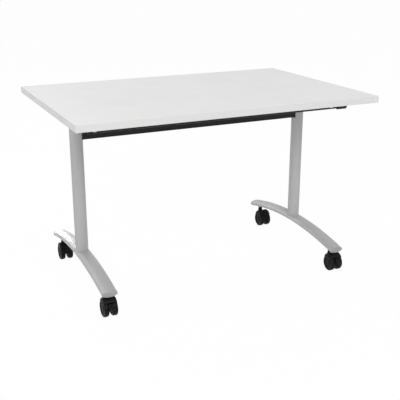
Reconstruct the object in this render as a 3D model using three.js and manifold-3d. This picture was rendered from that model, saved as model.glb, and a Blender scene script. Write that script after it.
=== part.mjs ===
// Flip top training table: a laminated board that tips upright on two column legs with castors.
// Millimetres. +X runs along the board, +Y from the user's side to the back, +Z up.
// The origin is on the floor, under the middle of the board.

import * as THREE from 'three';
import { mergeVertices } from 'three/addons/utils/BufferGeometryUtils.js';
import Module from 'manifold-3d';

const wasm = await Module();
wasm.setup();

// Clearances
const SEAT_GAP = 0.3; // between two pieces that lie against each other
const RUNNING_GAP = 0.3; // round a pin in its bore

// Board and edge strips
const TABLE_HEIGHT = 735;
const BOARD_LENGTH = 1200;
const BOARD_DEPTH = 800;
const BOARD_THICK = 25;
const EDGE_THICK = 2;

// Legs
const LEG_INSET = 110; // from the board's end to the column axis
const COLUMN_DIAMETER = 50;
const COLUMN_WALL = 2;
const FOOT_WIDTH = 60;
const FOOT_THICK = 27;
const FOOT_WALL = 2;
const FOOT_BEND_RADIUS = 1500; // of the tube's middle line
const FOOT_HALF_SPAN = 335; // from the column axis to a foot's end
const CAP_FLANGE = 3;
const CAP_PLUG = 14;
const CAP_PLUG_CLEARANCE = 0.7; // round the plug, which is straight in a bent tube
const BEAM_HEIGHT = 50;
const BEAM_DEPTH = 30;
const BEAM_WALL = 2;
const BEAM_BELOW_COLUMN_TOP = 1;

// Pivot heads, which close the columns and carry the board
const PIVOT_DROP = 46; // from the board's underside to the pivot axis
const BARREL_RADIUS = 22;
const HEAD_COLLAR = 5;
const HEAD_COLLAR_SINK = 3; // how far the collar reaches up into the barrel
const HEAD_PLUG = 40;
const HEAD_NECK_DEPTH = 30;
const HEAD_NECK_WIDTH = 40;
const NOTCH_WIDTH = 14;
const NOTCH_HEIGHT = 10;
const NOTCH_DEPTH = 6;
const HORN_INNER = 9; // from the leg's middle plane
const HORN_THICK = 10;
const HORN_DEPTH = 11;
const HORN_PAST_PIN = 7;
const PIVOT_PIN_DIAMETER = 12;
const PIVOT_PIN_HEAD_DIAMETER = 18;
const PIVOT_PIN_HEAD = 4;
const BUSH_WALL = 2;
const BUSH_FLANGE_DIAMETER = 24;
const BUSH_FLANGE = 1.5;

// Top brackets: folded channels under the board
const BRACKET_LENGTH = 430;
const BRACKET_INNER_WIDTH = 64;
const BRACKET_DEPTH = 26;
const BRACKET_SHEET = 3;
const LUG_RADIUS = 14;
const LUG_ROOT_HALF = 22;
const BUFFER_DIAMETER = 20;
const BUFFER_FROM_PIVOT = 80;
const BUFFER_CLEARANCE = 0.5; // to the column when the board is upright

// Release bar, pawls and springs
const BAR_DIAMETER = 12;
const BAR_FROM_PIVOT = 240; // towards the user's side
const BAR_DROP = 39.5; // from the board's underside to the bar's axis
const BAR_PAST_LEFT_PAWL = 17;
const BAR_PAST_RIGHT_LEG = 70;
const BAR_CAP_DIAMETER = 15;
const BAR_CAP_LENGTH = 12;
const BAR_CAP_WALL = 2;
const GRIP_DIAMETER = 20;
const GRIP_LENGTH = 45;
const GRIP_END_WALL = 5;
const PAWL_THICK = 10;
const PAWL_ARM_DEPTH = 11;
const PAWL_ARM_PAST_BAR = 10;
const PAWL_BOSS_RADIUS = 9;
const PAWL_NOSE_HEIGHT = 7;
const PAWL_NOSE_LENGTH = 12;
const PAWL_NOSE_CLEARANCE = 0.6; // to the barrel, so that the board can be turned
const PAWL_PIN_DIAMETER = 8;
const PAWL_PIN_HEAD_DIAMETER = 12;
const PAWL_PIN_HEAD = 2;
const PAWL_PIN_FROM_PIVOT = 62;
const PAWL_PIN_DROP = 18; // from the board's underside to the pin's axis
const SPRING_FROM_BRACKET_END = 27;
const SPRING_DIAMETER = 10; // across the middle of the wire
const SPRING_WIRE = 1.6;
const SPRING_CURLS = 6;

// Castors
const CASTOR_FROM_COLUMN = 294.5;
const WHEEL_DIAMETER = 65;
const WHEEL_WIDTH = 20;
const WHEEL_SPACING = 12; // between the wheels' inner faces
const WHEEL_SHOULDER = 7; // rounding of the tread's two edges
const WHEEL_DISH = 3;
const WHEEL_RIM = 3; // flat ring inside the outer shoulder
const WHEEL_HUB_RADIUS = 11;
const WHEEL_BORE_FLOOR = 4;
const AXLE_DIAMETER = 8;
const CASTOR_TRAIL = 25; // from the swivel axis to the axle
const HOOD_CLEARANCE = 2; // over the wheels
const HOOD_WALL = 2.5;
const HOOD_RISE = 5; // of the arch's centre over the axle
const HOOD_SHOULDER = 6;
const HOOD_WIDTH = 51;
const HOOD_LEAD_ANGLE = 80; // degrees from the top towards the swivel axis
const HOOD_TRAIL_ANGLE = 44; // degrees from the top towards the trailing side
const WEB_CLEARANCE = 1.2; // between the hood's middle web and a wheel
const WEB_RADIUS = 30; // of the web's trailing edge, round the axle
const WEB_TRAIL_ANGLE = 100; // degrees from the top, down to which the web reaches
const AXLE_BOSS_RADIUS = 8.5;
const SWIVEL_BOSS_DIAMETER = 24;
const SWIVEL_BOSS_PROUD = 0.8; // over the top of the hood
const SWIVEL_BORE_DEPTH = 20;
const STEM_NECK_DIAMETER = 18;
const STEM_NECK_LENGTH = 9.2;
const STEM_SWIVEL_DIAMETER = 8;
const STEM_SCREW_DIAMETER = 10;
const STEM_SCREW_LENGTH = 19;
const STEM_BUSH_DIAMETER = 22; // threaded bush, welded through the foot's lower wall
const STEM_BUSH_PROUD = 2.6; // below the foot
const STEM_BUSH_LENGTH = 22;

// Brake pedals, on the two castors of the user's side
const PEDAL_ANGLE = 53; // degrees from the top towards the trailing side
const PEDAL_PIVOT_OUT = 5; // from the wheel's tread to the pedal's axis
const PEDAL_EYE_RADIUS = 4;
const PEDAL_PIN_DIAMETER = 4;
const PEDAL_EAR_RADIUS = 4;
const PEDAL_WIDTH = 22;
const PEDAL_CHEEK = 5;
const PEDAL_LENGTH = 22;
const PEDAL_THICK = 4;
const PEDAL_SLOPE = 40; // degrees below level

// Facets
const ROUND_STEPS = 24;
const WHEEL_STEPS = 24;
const SMALL_STEPS = 14;
const OVAL_STEPS = 20;
const BEND_STEPS = 8;
const ARC_STEPS = 12;
const CURL_STEPS = 8;
const WIRE_SIDES = 5;
const MERGE_DISTANCE = 1e-4;
const CUT_MARGIN = 1; // how far a cutter stands past what it cuts

// Heights and places that follow from the sizes
const UNDERSIDE = TABLE_HEIGHT - BOARD_THICK;
const PIVOT_HEIGHT = UNDERSIDE - PIVOT_DROP;
const LEG_SPACING = BOARD_LENGTH - 2 * LEG_INSET; // between the column axes
const COLUMN_RADIUS = COLUMN_DIAMETER / 2;
const COLUMN_TOP = PIVOT_HEIGHT - BARREL_RADIUS + HEAD_COLLAR_SINK - HEAD_COLLAR - SEAT_GAP;
const BEAM_TOP = COLUMN_TOP - BEAM_BELOW_COLUMN_TOP;
const WEB_UNDERSIDE = UNDERSIDE - SEAT_GAP - BRACKET_SHEET;
const BRACKET_HALF = BRACKET_INNER_WIDTH / 2;
const BARREL_HALF = BRACKET_HALF - BUSH_FLANGE - 2 * SEAT_GAP;
const BUSH_BORE_RADIUS = PIVOT_PIN_DIAMETER / 2 + RUNNING_GAP;
const BUSH_RADIUS = BUSH_BORE_RADIUS + BUSH_WALL;
const BAR_HEIGHT = UNDERSIDE - BAR_DROP;
const PAWL_PIN_HEIGHT = UNDERSIDE - PAWL_PIN_DROP;
const SPRING_FROM_PIVOT = BRACKET_LENGTH / 2 - SPRING_FROM_BRACKET_END;
const WHEEL_RADIUS = WHEEL_DIAMETER / 2;
const WELL_RADIUS = WHEEL_RADIUS + HOOD_CLEARANCE;
const HOOD_RADIUS = WELL_RADIUS + HOOD_WALL;
const WEB_HALF = WHEEL_SPACING / 2 - WEB_CLEARANCE;
const SWIVEL_BOSS_TOP = WHEEL_RADIUS + HOOD_RISE + HOOD_RADIUS + SWIVEL_BOSS_PROUD;
const CASTOR_HEIGHT = SWIVEL_BOSS_TOP + SEAT_GAP + STEM_NECK_LENGTH + SEAT_GAP;
const FOOT_INNER_RADIUS = FOOT_BEND_RADIUS - FOOT_THICK / 2;
const FOOT_ARC_CENTRE = CASTOR_HEIGHT + STEM_BUSH_PROUD
  - Math.sqrt(FOOT_INNER_RADIUS ** 2 - CASTOR_FROM_COLUMN ** 2);
const FOOT_MIDDLE = FOOT_ARC_CENTRE + FOOT_BEND_RADIUS;
const FOOT_HALF_ANGLE = Math.asin(FOOT_HALF_SPAN / FOOT_BEND_RADIUS);

// Finishes
function finish(color, roughness, metalness) {
  return new THREE.MeshStandardMaterial({ color, roughness, metalness });
}

const laminate = () => finish(0xe6e6e6, 0.45, 0);
const edging = () => finish(0xdadada, 0.5, 0);
const silverPaint = () => finish(0xa9abad, 0.4, 0.6);
const blackPaint = () => finish(0x262626, 0.5, 0.1);
const zincSteel = () => finish(0xb9bcc0, 0.35, 0.9);
const blackNylon = () => finish(0x1f1f1f, 0.55, 0);
const greyPlastic = () => finish(0x8f9193, 0.55, 0);
const blackRubber = () => finish(0x161616, 0.8, 0);

// Solids from three.js geometry, with their faces turned outwards
function solidFrom(geometry) {
  geometry.deleteAttribute('normal');
  geometry.deleteAttribute('uv');
  const merged = mergeVertices(geometry, MERGE_DISTANCE);
  const corners = merged.index.array;
  const triangles = [];
  for (let i = 0; i < corners.length; i += 3) {
    const triangle = [corners[i], corners[i + 1], corners[i + 2]];
    if (new Set(triangle).size === 3) {
      triangles.push(triangle);
    }
  }
  const build = (order) => new wasm.Manifold(new wasm.Mesh({
    numProp: 3,
    vertProperties: new Float32Array(merged.attributes.position.array),
    triVerts: new Uint32Array(triangles.flatMap(order)),
  }));
  const solid = build(([a, b, c]) => [a, b, c]);
  return solid.volume() > 0 ? solid : build(([a, b, c]) => [a, c, b]);
}

function geometryFrom(solid) {
  const { vertProperties, triVerts } = solid.getMesh();
  const geometry = new THREE.BufferGeometry();
  geometry.setAttribute('position', new THREE.BufferAttribute(vertProperties, 3));
  geometry.setIndex(new THREE.BufferAttribute(triVerts, 1));
  geometry.computeVertexNormals();
  return geometry;
}

function piece(name, solid, material) {
  const mesh = new THREE.Mesh(geometryFrom(solid), material);
  mesh.name = name;
  return mesh;
}

// Basic forms, each given by the two ends it lies between
function block([x0, x1], [y0, y1], [z0, z1]) {
  const geometry = new THREE.BoxGeometry(x1 - x0, y1 - y0, z1 - z0);
  geometry.translate((x0 + x1) / 2, (y0 + y1) / 2, (z0 + z1) / 2);
  return solidFrom(geometry);
}

function rodAlongX(radius, [x0, x1], [y, z], steps = SMALL_STEPS) {
  const geometry = new THREE.CylinderGeometry(radius, radius, x1 - x0, steps);
  geometry.rotateZ(-Math.PI / 2);
  geometry.translate((x0 + x1) / 2, y, z);
  return solidFrom(geometry);
}

function rodAlongZ(radius, [z0, z1], [x, y] = [0, 0], steps = ROUND_STEPS) {
  const geometry = new THREE.CylinderGeometry(radius, radius, z1 - z0, steps);
  geometry.rotateX(Math.PI / 2);
  geometry.translate(x, y, (z0 + z1) / 2);
  return solidFrom(geometry);
}

// A profile in the (y, z) plane, given a thickness along x
function plateAcrossX(shape, [x0, x1]) {
  const geometry = new THREE.ExtrudeGeometry(shape, {
    depth: x1 - x0, bevelEnabled: false, curveSegments: ARC_STEPS,
  });
  const turn = new THREE.Matrix4().makeBasis(
    new THREE.Vector3(0, 1, 0), new THREE.Vector3(0, 0, 1), new THREE.Vector3(1, 0, 0),
  );
  geometry.applyMatrix4(turn);
  geometry.translate(x0, 0, 0);
  return solidFrom(geometry);
}

const outline = (points) => new THREE.Shape(points.map(([u, v]) => new THREE.Vector2(u, v)));

function ellipse(width, height) {
  return outline(new THREE.EllipseCurve(0, 0, width / 2, height / 2, 0, 2 * Math.PI)
    .getPoints(OVAL_STEPS).slice(0, OVAL_STEPS).map((p) => [p.x, p.y]));
}

// A profile of [radius, place along x] pairs, turned about the x axis
function turnedAboutX(profile, steps = SMALL_STEPS, startAngle = 0) {
  const points = profile.map(([r, x]) => new THREE.Vector2(r, x));
  const geometry = new THREE.LatheGeometry(points, steps, startAngle);
  geometry.rotateZ(-Math.PI / 2);
  return solidFrom(geometry);
}

// A profile of [radius, height] pairs, turned about the z axis
function turnedAboutZ(profile, steps = SMALL_STEPS) {
  const geometry = new THREE.LatheGeometry(profile.map(([r, z]) => new THREE.Vector2(r, z)), steps);
  geometry.rotateX(Math.PI / 2);
  return solidFrom(geometry);
}

// A quarter round between two faces, as two steps: [radius, place] pairs from the face at `from` to the rim
function shoulder(radius, from, rounding) {
  const corner = Math.abs(rounding) * (1 - Math.SQRT1_2);
  const inwards = Math.sign(rounding) * corner;
  return [[radius - Math.abs(rounding), from], [radius - corner, from + inwards], [radius, from + rounding]];
}

// Board: a core with two edge strips along its length that cover the ends of the two short ones
function makeBoard() {
  const group = new THREE.Group();
  const edgeRoom = EDGE_THICK + SEAT_GAP;
  const halfLength = BOARD_LENGTH / 2;
  const halfDepth = BOARD_DEPTH / 2;
  const coreX = [-halfLength + edgeRoom, halfLength - edgeRoom];
  const coreY = [-halfDepth + edgeRoom, halfDepth - edgeRoom];
  const height = [UNDERSIDE, TABLE_HEIGHT];
  group.add(piece('tabletop', block(coreX, coreY, height), laminate()));

  const longStrip = new THREE.Shape();
  longStrip.moveTo(-halfLength, 0);
  longStrip.absarc(-halfLength + EDGE_THICK, 0, EDGE_THICK, Math.PI, 1.5 * Math.PI, false);
  longStrip.absarc(halfLength - EDGE_THICK, 0, EDGE_THICK, 1.5 * Math.PI, 2 * Math.PI, false);
  const strip = () => solidFrom(new THREE.ExtrudeGeometry(longStrip, {
    depth: BOARD_THICK, bevelEnabled: false, curveSegments: ARC_STEPS / 3,
  }));
  const front = piece('edge_front', strip(), edging());
  front.position.set(0, -halfDepth + EDGE_THICK, UNDERSIDE);
  const back = piece('edge_back', strip(), edging());
  back.position.set(0, halfDepth - EDGE_THICK, UNDERSIDE);
  back.rotation.z = Math.PI;
  group.add(front, back);

  const right = block([halfLength - EDGE_THICK, halfLength], coreY, height);
  const left = block([-halfLength, -halfLength + EDGE_THICK], coreY, height);
  group.add(piece('edge_right', right, edging()), piece('edge_left', left, edging()));
  return group;
}

// Foot: a bent oval tube with a threaded bush over each castor, in the leg's own frame
class FootArc extends THREE.Curve {
  constructor(halfAngle) {
    super();
    this.halfAngle = halfAngle;
  }

  getPoint(t, target = new THREE.Vector3()) {
    const angle = this.halfAngle * (2 * t - 1);
    const y = FOOT_BEND_RADIUS * Math.sin(angle);
    const z = FOOT_ARC_CENTRE + FOOT_BEND_RADIUS * Math.cos(angle);
    return target.set(0, y, z);
  }
}

function sweptFoot(shape, extraAngle) {
  return solidFrom(new THREE.ExtrudeGeometry(shape, {
    steps: BEND_STEPS, bevelEnabled: false, extrudePath: new FootArc(FOOT_HALF_ANGLE + extraAngle),
  }));
}

function footTube() {
  const pastEnd = CUT_MARGIN / FOOT_BEND_RADIUS;
  const hollow = sweptFoot(ellipse(FOOT_WIDTH - 2 * FOOT_WALL, FOOT_THICK - 2 * FOOT_WALL), pastEnd);
  let tube = sweptFoot(ellipse(FOOT_WIDTH, FOOT_THICK), 0).subtract(hollow);
  const boreRadius = STEM_SCREW_DIAMETER / 2 + RUNNING_GAP;
  for (const y of [-CASTOR_FROM_COLUMN, CASTOR_FROM_COLUMN]) {
    const top = CASTOR_HEIGHT + STEM_BUSH_LENGTH;
    const boreTop = CASTOR_HEIGHT + STEM_SCREW_LENGTH + SEAT_GAP;
    tube = tube.add(rodAlongZ(STEM_BUSH_DIAMETER / 2, [CASTOR_HEIGHT, top], [0, y], SMALL_STEPS));
    tube = tube.subtract(rodAlongZ(boreRadius, [CASTOR_HEIGHT - CUT_MARGIN, boreTop], [0, y], SMALL_STEPS));
  }
  return tube;
}

// End cap of a foot: a flange over the tube's end and a plug inside it, along +z
function footCap() {
  const extrude = (shape, depth, from) => {
    const geometry = new THREE.ExtrudeGeometry(shape, { depth, bevelEnabled: false });
    geometry.translate(0, 0, from);
    return solidFrom(geometry);
  };
  const room = 2 * (FOOT_WALL + CAP_PLUG_CLEARANCE);
  const flange = extrude(ellipse(FOOT_WIDTH, FOOT_THICK), CAP_FLANGE, SEAT_GAP);
  const plug = extrude(ellipse(FOOT_WIDTH - room, FOOT_THICK - room), CAP_PLUG + CAP_FLANGE, -CAP_PLUG);
  return flange.add(plug);
}

// Column: a round tube, coped to the foot at its lower end
function columnTube() {
  const tube = rodAlongZ(COLUMN_RADIUS, [FOOT_MIDDLE, COLUMN_TOP])
    .subtract(rodAlongZ(COLUMN_RADIUS - COLUMN_WALL, [FOOT_MIDDLE - CUT_MARGIN, COLUMN_TOP + CUT_MARGIN]));
  return tube.subtract(sweptFoot(ellipse(FOOT_WIDTH + 2 * SEAT_GAP, FOOT_THICK + 2 * SEAT_GAP), 0));
}

// Pivot head: plug and collar in the column, barrel on the pivot axis, two latch notches and two stop horns
function pivotHead() {
  const plugRadius = COLUMN_RADIUS - COLUMN_WALL - SEAT_GAP;
  const collar = [COLUMN_TOP + SEAT_GAP, COLUMN_TOP + SEAT_GAP + HEAD_COLLAR];
  const neckX = [-HEAD_NECK_WIDTH / 2, HEAD_NECK_WIDTH / 2];
  const neckY = [-HEAD_NECK_DEPTH / 2, HEAD_NECK_DEPTH / 2];
  let head = rodAlongZ(COLUMN_RADIUS, collar)
    .add(rodAlongZ(plugRadius, [collar[0] - HEAD_PLUG, collar[1]]))
    .add(block(neckX, neckY, [collar[0], PIVOT_HEIGHT]))
    .add(rodAlongX(BARREL_RADIUS, [-BARREL_HALF, BARREL_HALF], [0, PIVOT_HEIGHT], ROUND_STEPS));

  const hornTop = PAWL_PIN_HEIGHT - PAWL_PIN_DIAMETER / 2 - SEAT_GAP;
  const hornEnd = -PAWL_PIN_FROM_PIVOT - HORN_PAST_PIN;
  const horn = outline([
    [0, PIVOT_HEIGHT - BARREL_RADIUS / 2],
    [0, PIVOT_HEIGHT + BARREL_RADIUS / 2],
    [-PAWL_PIN_FROM_PIVOT + HORN_PAST_PIN, hornTop],
    [hornEnd, hornTop],
    [hornEnd, hornTop - HORN_DEPTH],
  ]);
  for (const from of [HORN_INNER, -HORN_INNER - HORN_THICK]) {
    head = head.add(plateAcrossX(horn, [from, from + HORN_THICK]));
  }

  const notchX = [-NOTCH_WIDTH / 2, NOTCH_WIDTH / 2];
  const across = [-NOTCH_HEIGHT / 2, NOTCH_HEIGHT / 2];
  const floor = BARREL_RADIUS - NOTCH_DEPTH;
  const mouth = BARREL_RADIUS + CUT_MARGIN;
  const restNotch = block(notchX, [-mouth, -floor], across.map((z) => PIVOT_HEIGHT + z));
  const uprightNotch = block(notchX, across, [PIVOT_HEIGHT + floor, PIVOT_HEIGHT + mouth]);
  const through = [-BARREL_HALF - CUT_MARGIN, BARREL_HALF + CUT_MARGIN];
  const bore = rodAlongX(PIVOT_PIN_DIAMETER / 2 + RUNNING_GAP, through, [0, PIVOT_HEIGHT]);
  return head.subtract(restNotch).subtract(uprightNotch).subtract(bore);
}

// A plain pin, riveted over at both ends of what it passes through
function rivetedPin(radius, headRadius, headThick, halfGrip) {
  const neck = halfGrip + SEAT_GAP;
  const end = neck + headThick;
  const crown = headRadius - headThick / 2;
  return turnedAboutX([
    [0, -end], [crown, -end], [headRadius, -neck - headThick / 2], [headRadius, -neck], [radius, -neck],
    [radius, neck], [headRadius, neck], [headRadius, neck + headThick / 2], [crown, end], [0, end],
  ]);
}

function makeLeg(side, name) {
  const leg = new THREE.Group();
  leg.position.x = (side * LEG_SPACING) / 2;
  leg.add(piece(`column_${name}`, columnTube(), silverPaint()));
  leg.add(piece(`foot_${name}`, footTube(), silverPaint()));
  leg.add(piece(`pivot_head_${name}`, pivotHead(), blackPaint()));
  const pin = piece(
    `pivot_pin_${name}`,
    rivetedPin(
      PIVOT_PIN_DIAMETER / 2, PIVOT_PIN_HEAD_DIAMETER / 2, PIVOT_PIN_HEAD, BRACKET_HALF + BRACKET_SHEET,
    ),
    zincSteel(),
  );
  pin.position.z = PIVOT_HEIGHT;
  leg.add(pin);
  for (const [end, turn] of [['back', 0], ['front', Math.PI]]) {
    const half = new THREE.Group();
    half.rotation.z = turn;
    const cap = piece(`foot_cap_${end}_${name}`, footCap(), greyPlastic());
    cap.position.set(
      0, FOOT_BEND_RADIUS * Math.sin(FOOT_HALF_ANGLE),
      FOOT_ARC_CENTRE + FOOT_BEND_RADIUS * Math.cos(FOOT_HALF_ANGLE),
    );
    cap.rotation.x = -Math.PI / 2 - FOOT_HALF_ANGLE;
    half.add(cap);
    leg.add(half);
  }
  return leg;
}

// Crossbeam: a rectangular tube, coped round the columns at both ends
function crossbeam() {
  const halfLength = LEG_SPACING / 2;
  const halfDepth = BEAM_DEPTH / 2;
  const height = [BEAM_TOP - BEAM_HEIGHT, BEAM_TOP];
  let beam = block([-halfLength, halfLength], [-halfDepth, halfDepth], height).subtract(block(
    [-halfLength - CUT_MARGIN, halfLength + CUT_MARGIN],
    [-halfDepth + BEAM_WALL, halfDepth - BEAM_WALL],
    [height[0] + BEAM_WALL, height[1] - BEAM_WALL],
  ));
  const cope = [height[0] - CUT_MARGIN, height[1] + CUT_MARGIN];
  for (const x of [-halfLength, halfLength]) {
    beam = beam.subtract(rodAlongZ(COLUMN_RADIUS + SEAT_GAP, cope, [x, 0]));
  }
  return beam;
}

// Top bracket: a channel, open downwards, with a lug on each side that takes the pivot pin in a bush
function topBracket() {
  const outer = BRACKET_HALF + BRACKET_SHEET;
  const ends = [-BRACKET_LENGTH / 2, BRACKET_LENGTH / 2];
  const flangeEnd = UNDERSIDE - BRACKET_DEPTH;
  let bracket = block([-outer, outer], ends, [flangeEnd, UNDERSIDE - SEAT_GAP]).subtract(block(
    [-BRACKET_HALF, BRACKET_HALF],
    [ends[0] - CUT_MARGIN, ends[1] + CUT_MARGIN],
    [flangeEnd - CUT_MARGIN, WEB_UNDERSIDE],
  ));
  const lug = new THREE.Shape();
  lug.moveTo(-LUG_ROOT_HALF, flangeEnd + BRACKET_SHEET);
  lug.lineTo(-LUG_ROOT_HALF, flangeEnd);
  lug.absarc(0, PIVOT_HEIGHT, LUG_RADIUS, Math.PI, 2 * Math.PI, false);
  lug.lineTo(LUG_ROOT_HALF, flangeEnd);
  lug.lineTo(LUG_ROOT_HALF, flangeEnd + BRACKET_SHEET);
  for (const from of [-outer, BRACKET_HALF]) {
    bracket = bracket.add(plateAcrossX(lug, [from, from + BRACKET_SHEET]));
  }
  const through = [-outer - CUT_MARGIN, outer + CUT_MARGIN];
  return bracket
    .subtract(rodAlongX(BUSH_RADIUS + SEAT_GAP, through, [0, PIVOT_HEIGHT]))
    .subtract(rodAlongX(
      PAWL_PIN_DIAMETER / 2 + RUNNING_GAP, through, [-PAWL_PIN_FROM_PIVOT, PAWL_PIN_HEIGHT],
    ));
}

// Pivot bush: a sleeve in the lug with its flange against the inner face, along +x from the flange
function pivotBush() {
  const inner = BRACKET_HALF - SEAT_GAP - BUSH_FLANGE;
  const flangeEnd = BRACKET_HALF - SEAT_GAP;
  const end = BRACKET_HALF + BRACKET_SHEET;
  return turnedAboutX([
    [BUSH_BORE_RADIUS, inner], [BUSH_FLANGE_DIAMETER / 2, inner], [BUSH_FLANGE_DIAMETER / 2, flangeEnd],
    [BUSH_RADIUS, flangeEnd], [BUSH_RADIUS, end], [BUSH_BORE_RADIUS, end], [BUSH_BORE_RADIUS, inner],
  ]);
}

// Pawl: a nose at the barrel, a boss on the pawl pin, and an arm whose end sits over the release bar
const PAWL_ARM_TOP = BAR_HEIGHT + PAWL_ARM_DEPTH;

function pawlSolid() {
  const halfThick = PAWL_THICK / 2;
  const pinY = -PAWL_PIN_FROM_PIVOT;
  const noseTip = -BARREL_RADIUS - PAWL_NOSE_CLEARANCE;
  const noseHalf = PAWL_NOSE_HEIGHT / 2;
  const armEnd = -BAR_FROM_PIVOT - PAWL_ARM_PAST_BAR;
  const armRoot = pinY - 2 * PAWL_BOSS_RADIUS;
  const profile = outline([
    [armEnd, BAR_HEIGHT],
    [armRoot, BAR_HEIGHT],
    [pinY, PAWL_PIN_HEIGHT - PAWL_BOSS_RADIUS],
    [noseTip - PAWL_NOSE_LENGTH, PIVOT_HEIGHT - noseHalf],
    [noseTip, PIVOT_HEIGHT - noseHalf],
    [noseTip, PIVOT_HEIGHT + noseHalf],
    [pinY + PAWL_BOSS_RADIUS, PAWL_PIN_HEIGHT],
    [pinY, PAWL_PIN_HEIGHT + PAWL_BOSS_RADIUS],
    [pinY - PAWL_BOSS_RADIUS, PAWL_PIN_HEIGHT],
    [armRoot, PAWL_ARM_TOP],
    [armEnd, PAWL_ARM_TOP],
  ]);
  const x = [-halfThick, halfThick];
  const through = [-halfThick - CUT_MARGIN, halfThick + CUT_MARGIN];
  return plateAcrossX(profile, x)
    .add(rodAlongX(PAWL_BOSS_RADIUS, x, [pinY, PAWL_PIN_HEIGHT]))
    .subtract(rodAlongX(PAWL_PIN_DIAMETER / 2 + RUNNING_GAP, through, [pinY, PAWL_PIN_HEIGHT]))
    .subtract(rodAlongX(BAR_DIAMETER / 2 + SEAT_GAP, through, [-BAR_FROM_PIVOT, BAR_HEIGHT]));
}

// Pawl spring: an open coil between the pawl's arm and the bracket, standing on its own axis
function springSolid() {
  const wireRadius = SPRING_WIRE / 2;
  const radius = SPRING_DIAMETER / 2;
  const bottom = PAWL_ARM_TOP + SEAT_GAP + wireRadius;
  const rise = WEB_UNDERSIDE - SEAT_GAP - wireRadius - bottom;
  const steps = SPRING_CURLS * CURL_STEPS;
  const middle = [];
  for (let i = 0; i <= steps; i += 1) {
    const turn = (2 * Math.PI * i) / CURL_STEPS;
    middle.push(new THREE.Vector3(
      radius * Math.cos(turn), radius * Math.sin(turn), bottom + (rise * i) / steps,
    ));
  }
  const straight = new THREE.Vector3(0, SPRING_WIRE, 0);
  middle.unshift(middle[0].clone().sub(straight));
  middle.push(middle[middle.length - 1].clone().add(straight));

  const positions = [];
  const last = middle.length - 1;
  middle.forEach((centre, i) => {
    const before = middle[Math.max(i - 1, 0)];
    const after = middle[Math.min(i + 1, last)];
    const along = after.clone().sub(before).normalize();
    const out = new THREE.Vector3(centre.x, centre.y, 0);
    out.addScaledVector(along, -out.dot(along)).normalize();
    const up = along.clone().cross(out);
    for (let k = 0; k < WIRE_SIDES; k += 1) {
      const angle = (2 * Math.PI * k) / WIRE_SIDES;
      const corner = centre.clone()
        .addScaledVector(out, wireRadius * Math.cos(angle))
        .addScaledVector(up, wireRadius * Math.sin(angle));
      positions.push(corner.x, corner.y, corner.z);
    }
  });
  const triangles = [];
  for (let i = 0; i < last; i += 1) {
    for (let k = 0; k < WIRE_SIDES; k += 1) {
      const next = (k + 1) % WIRE_SIDES;
      const [a, b] = [i * WIRE_SIDES + k, i * WIRE_SIDES + next];
      triangles.push(a, a + WIRE_SIDES, b, b, a + WIRE_SIDES, b + WIRE_SIDES);
    }
  }
  const lastRing = last * WIRE_SIDES;
  for (let k = 1; k < WIRE_SIDES - 1; k += 1) {
    triangles.push(0, k, k + 1, lastRing, lastRing + k + 1, lastRing + k);
  }
  const geometry = new THREE.BufferGeometry();
  geometry.setAttribute('position', new THREE.Float32BufferAttribute(positions, 3));
  geometry.setIndex(triangles);
  return { solid: solidFrom(geometry), middle };
}

// The least room between two stretches of the wire that are more than half a curl apart
function leastWireGap(middle) {
  let least = Infinity;
  middle.forEach((point, i) => {
    middle.slice(i + CURL_STEPS / 2 + 1).forEach((other) => {
      least = Math.min(least, point.distanceTo(other) - SPRING_WIRE);
    });
  });
  return least;
}

// Buffer: a rubber stop under the bracket, which meets the back of the column when the board is upright
function flipBuffer() {
  const top = WEB_UNDERSIDE - SEAT_GAP;
  const bottom = PIVOT_HEIGHT + COLUMN_RADIUS + BUFFER_CLEARANCE;
  return rodAlongZ(BUFFER_DIAMETER / 2, [bottom, top], [0, BUFFER_FROM_PIVOT], SMALL_STEPS);
}

function makeTopHardware(side, name) {
  const hardware = new THREE.Group();
  hardware.position.x = (side * LEG_SPACING) / 2;
  hardware.add(piece(`top_bracket_${name}`, topBracket(), blackPaint()));
  for (const [place, turn] of [['outer', side > 0 ? 0 : Math.PI], ['inner', side > 0 ? Math.PI : 0]]) {
    const bush = piece(`pivot_bush_${place}_${name}`, pivotBush(), greyPlastic());
    bush.position.z = PIVOT_HEIGHT;
    bush.rotation.z = turn;
    hardware.add(bush);
  }
  const pin = piece(
    `pawl_pin_${name}`,
    rivetedPin(
      PAWL_PIN_DIAMETER / 2, PAWL_PIN_HEAD_DIAMETER / 2, PAWL_PIN_HEAD, BRACKET_HALF + BRACKET_SHEET,
    ),
    zincSteel(),
  );
  pin.position.set(0, -PAWL_PIN_FROM_PIVOT, PAWL_PIN_HEIGHT);
  hardware.add(pin);
  hardware.add(piece(`pawl_${name}`, pawlSolid(), zincSteel()));
  const { solid, middle } = springSolid();
  console.log(`pawl_spring_${name}: least gap between curls ${leastWireGap(middle).toFixed(2)} mm`);
  const spring = piece(`pawl_spring_${name}`, solid, zincSteel());
  spring.position.y = -SPRING_FROM_PIVOT;
  hardware.add(spring);
  hardware.add(piece(`flip_buffer_${name}`, flipBuffer(), blackRubber()));
  return hardware;
}

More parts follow.
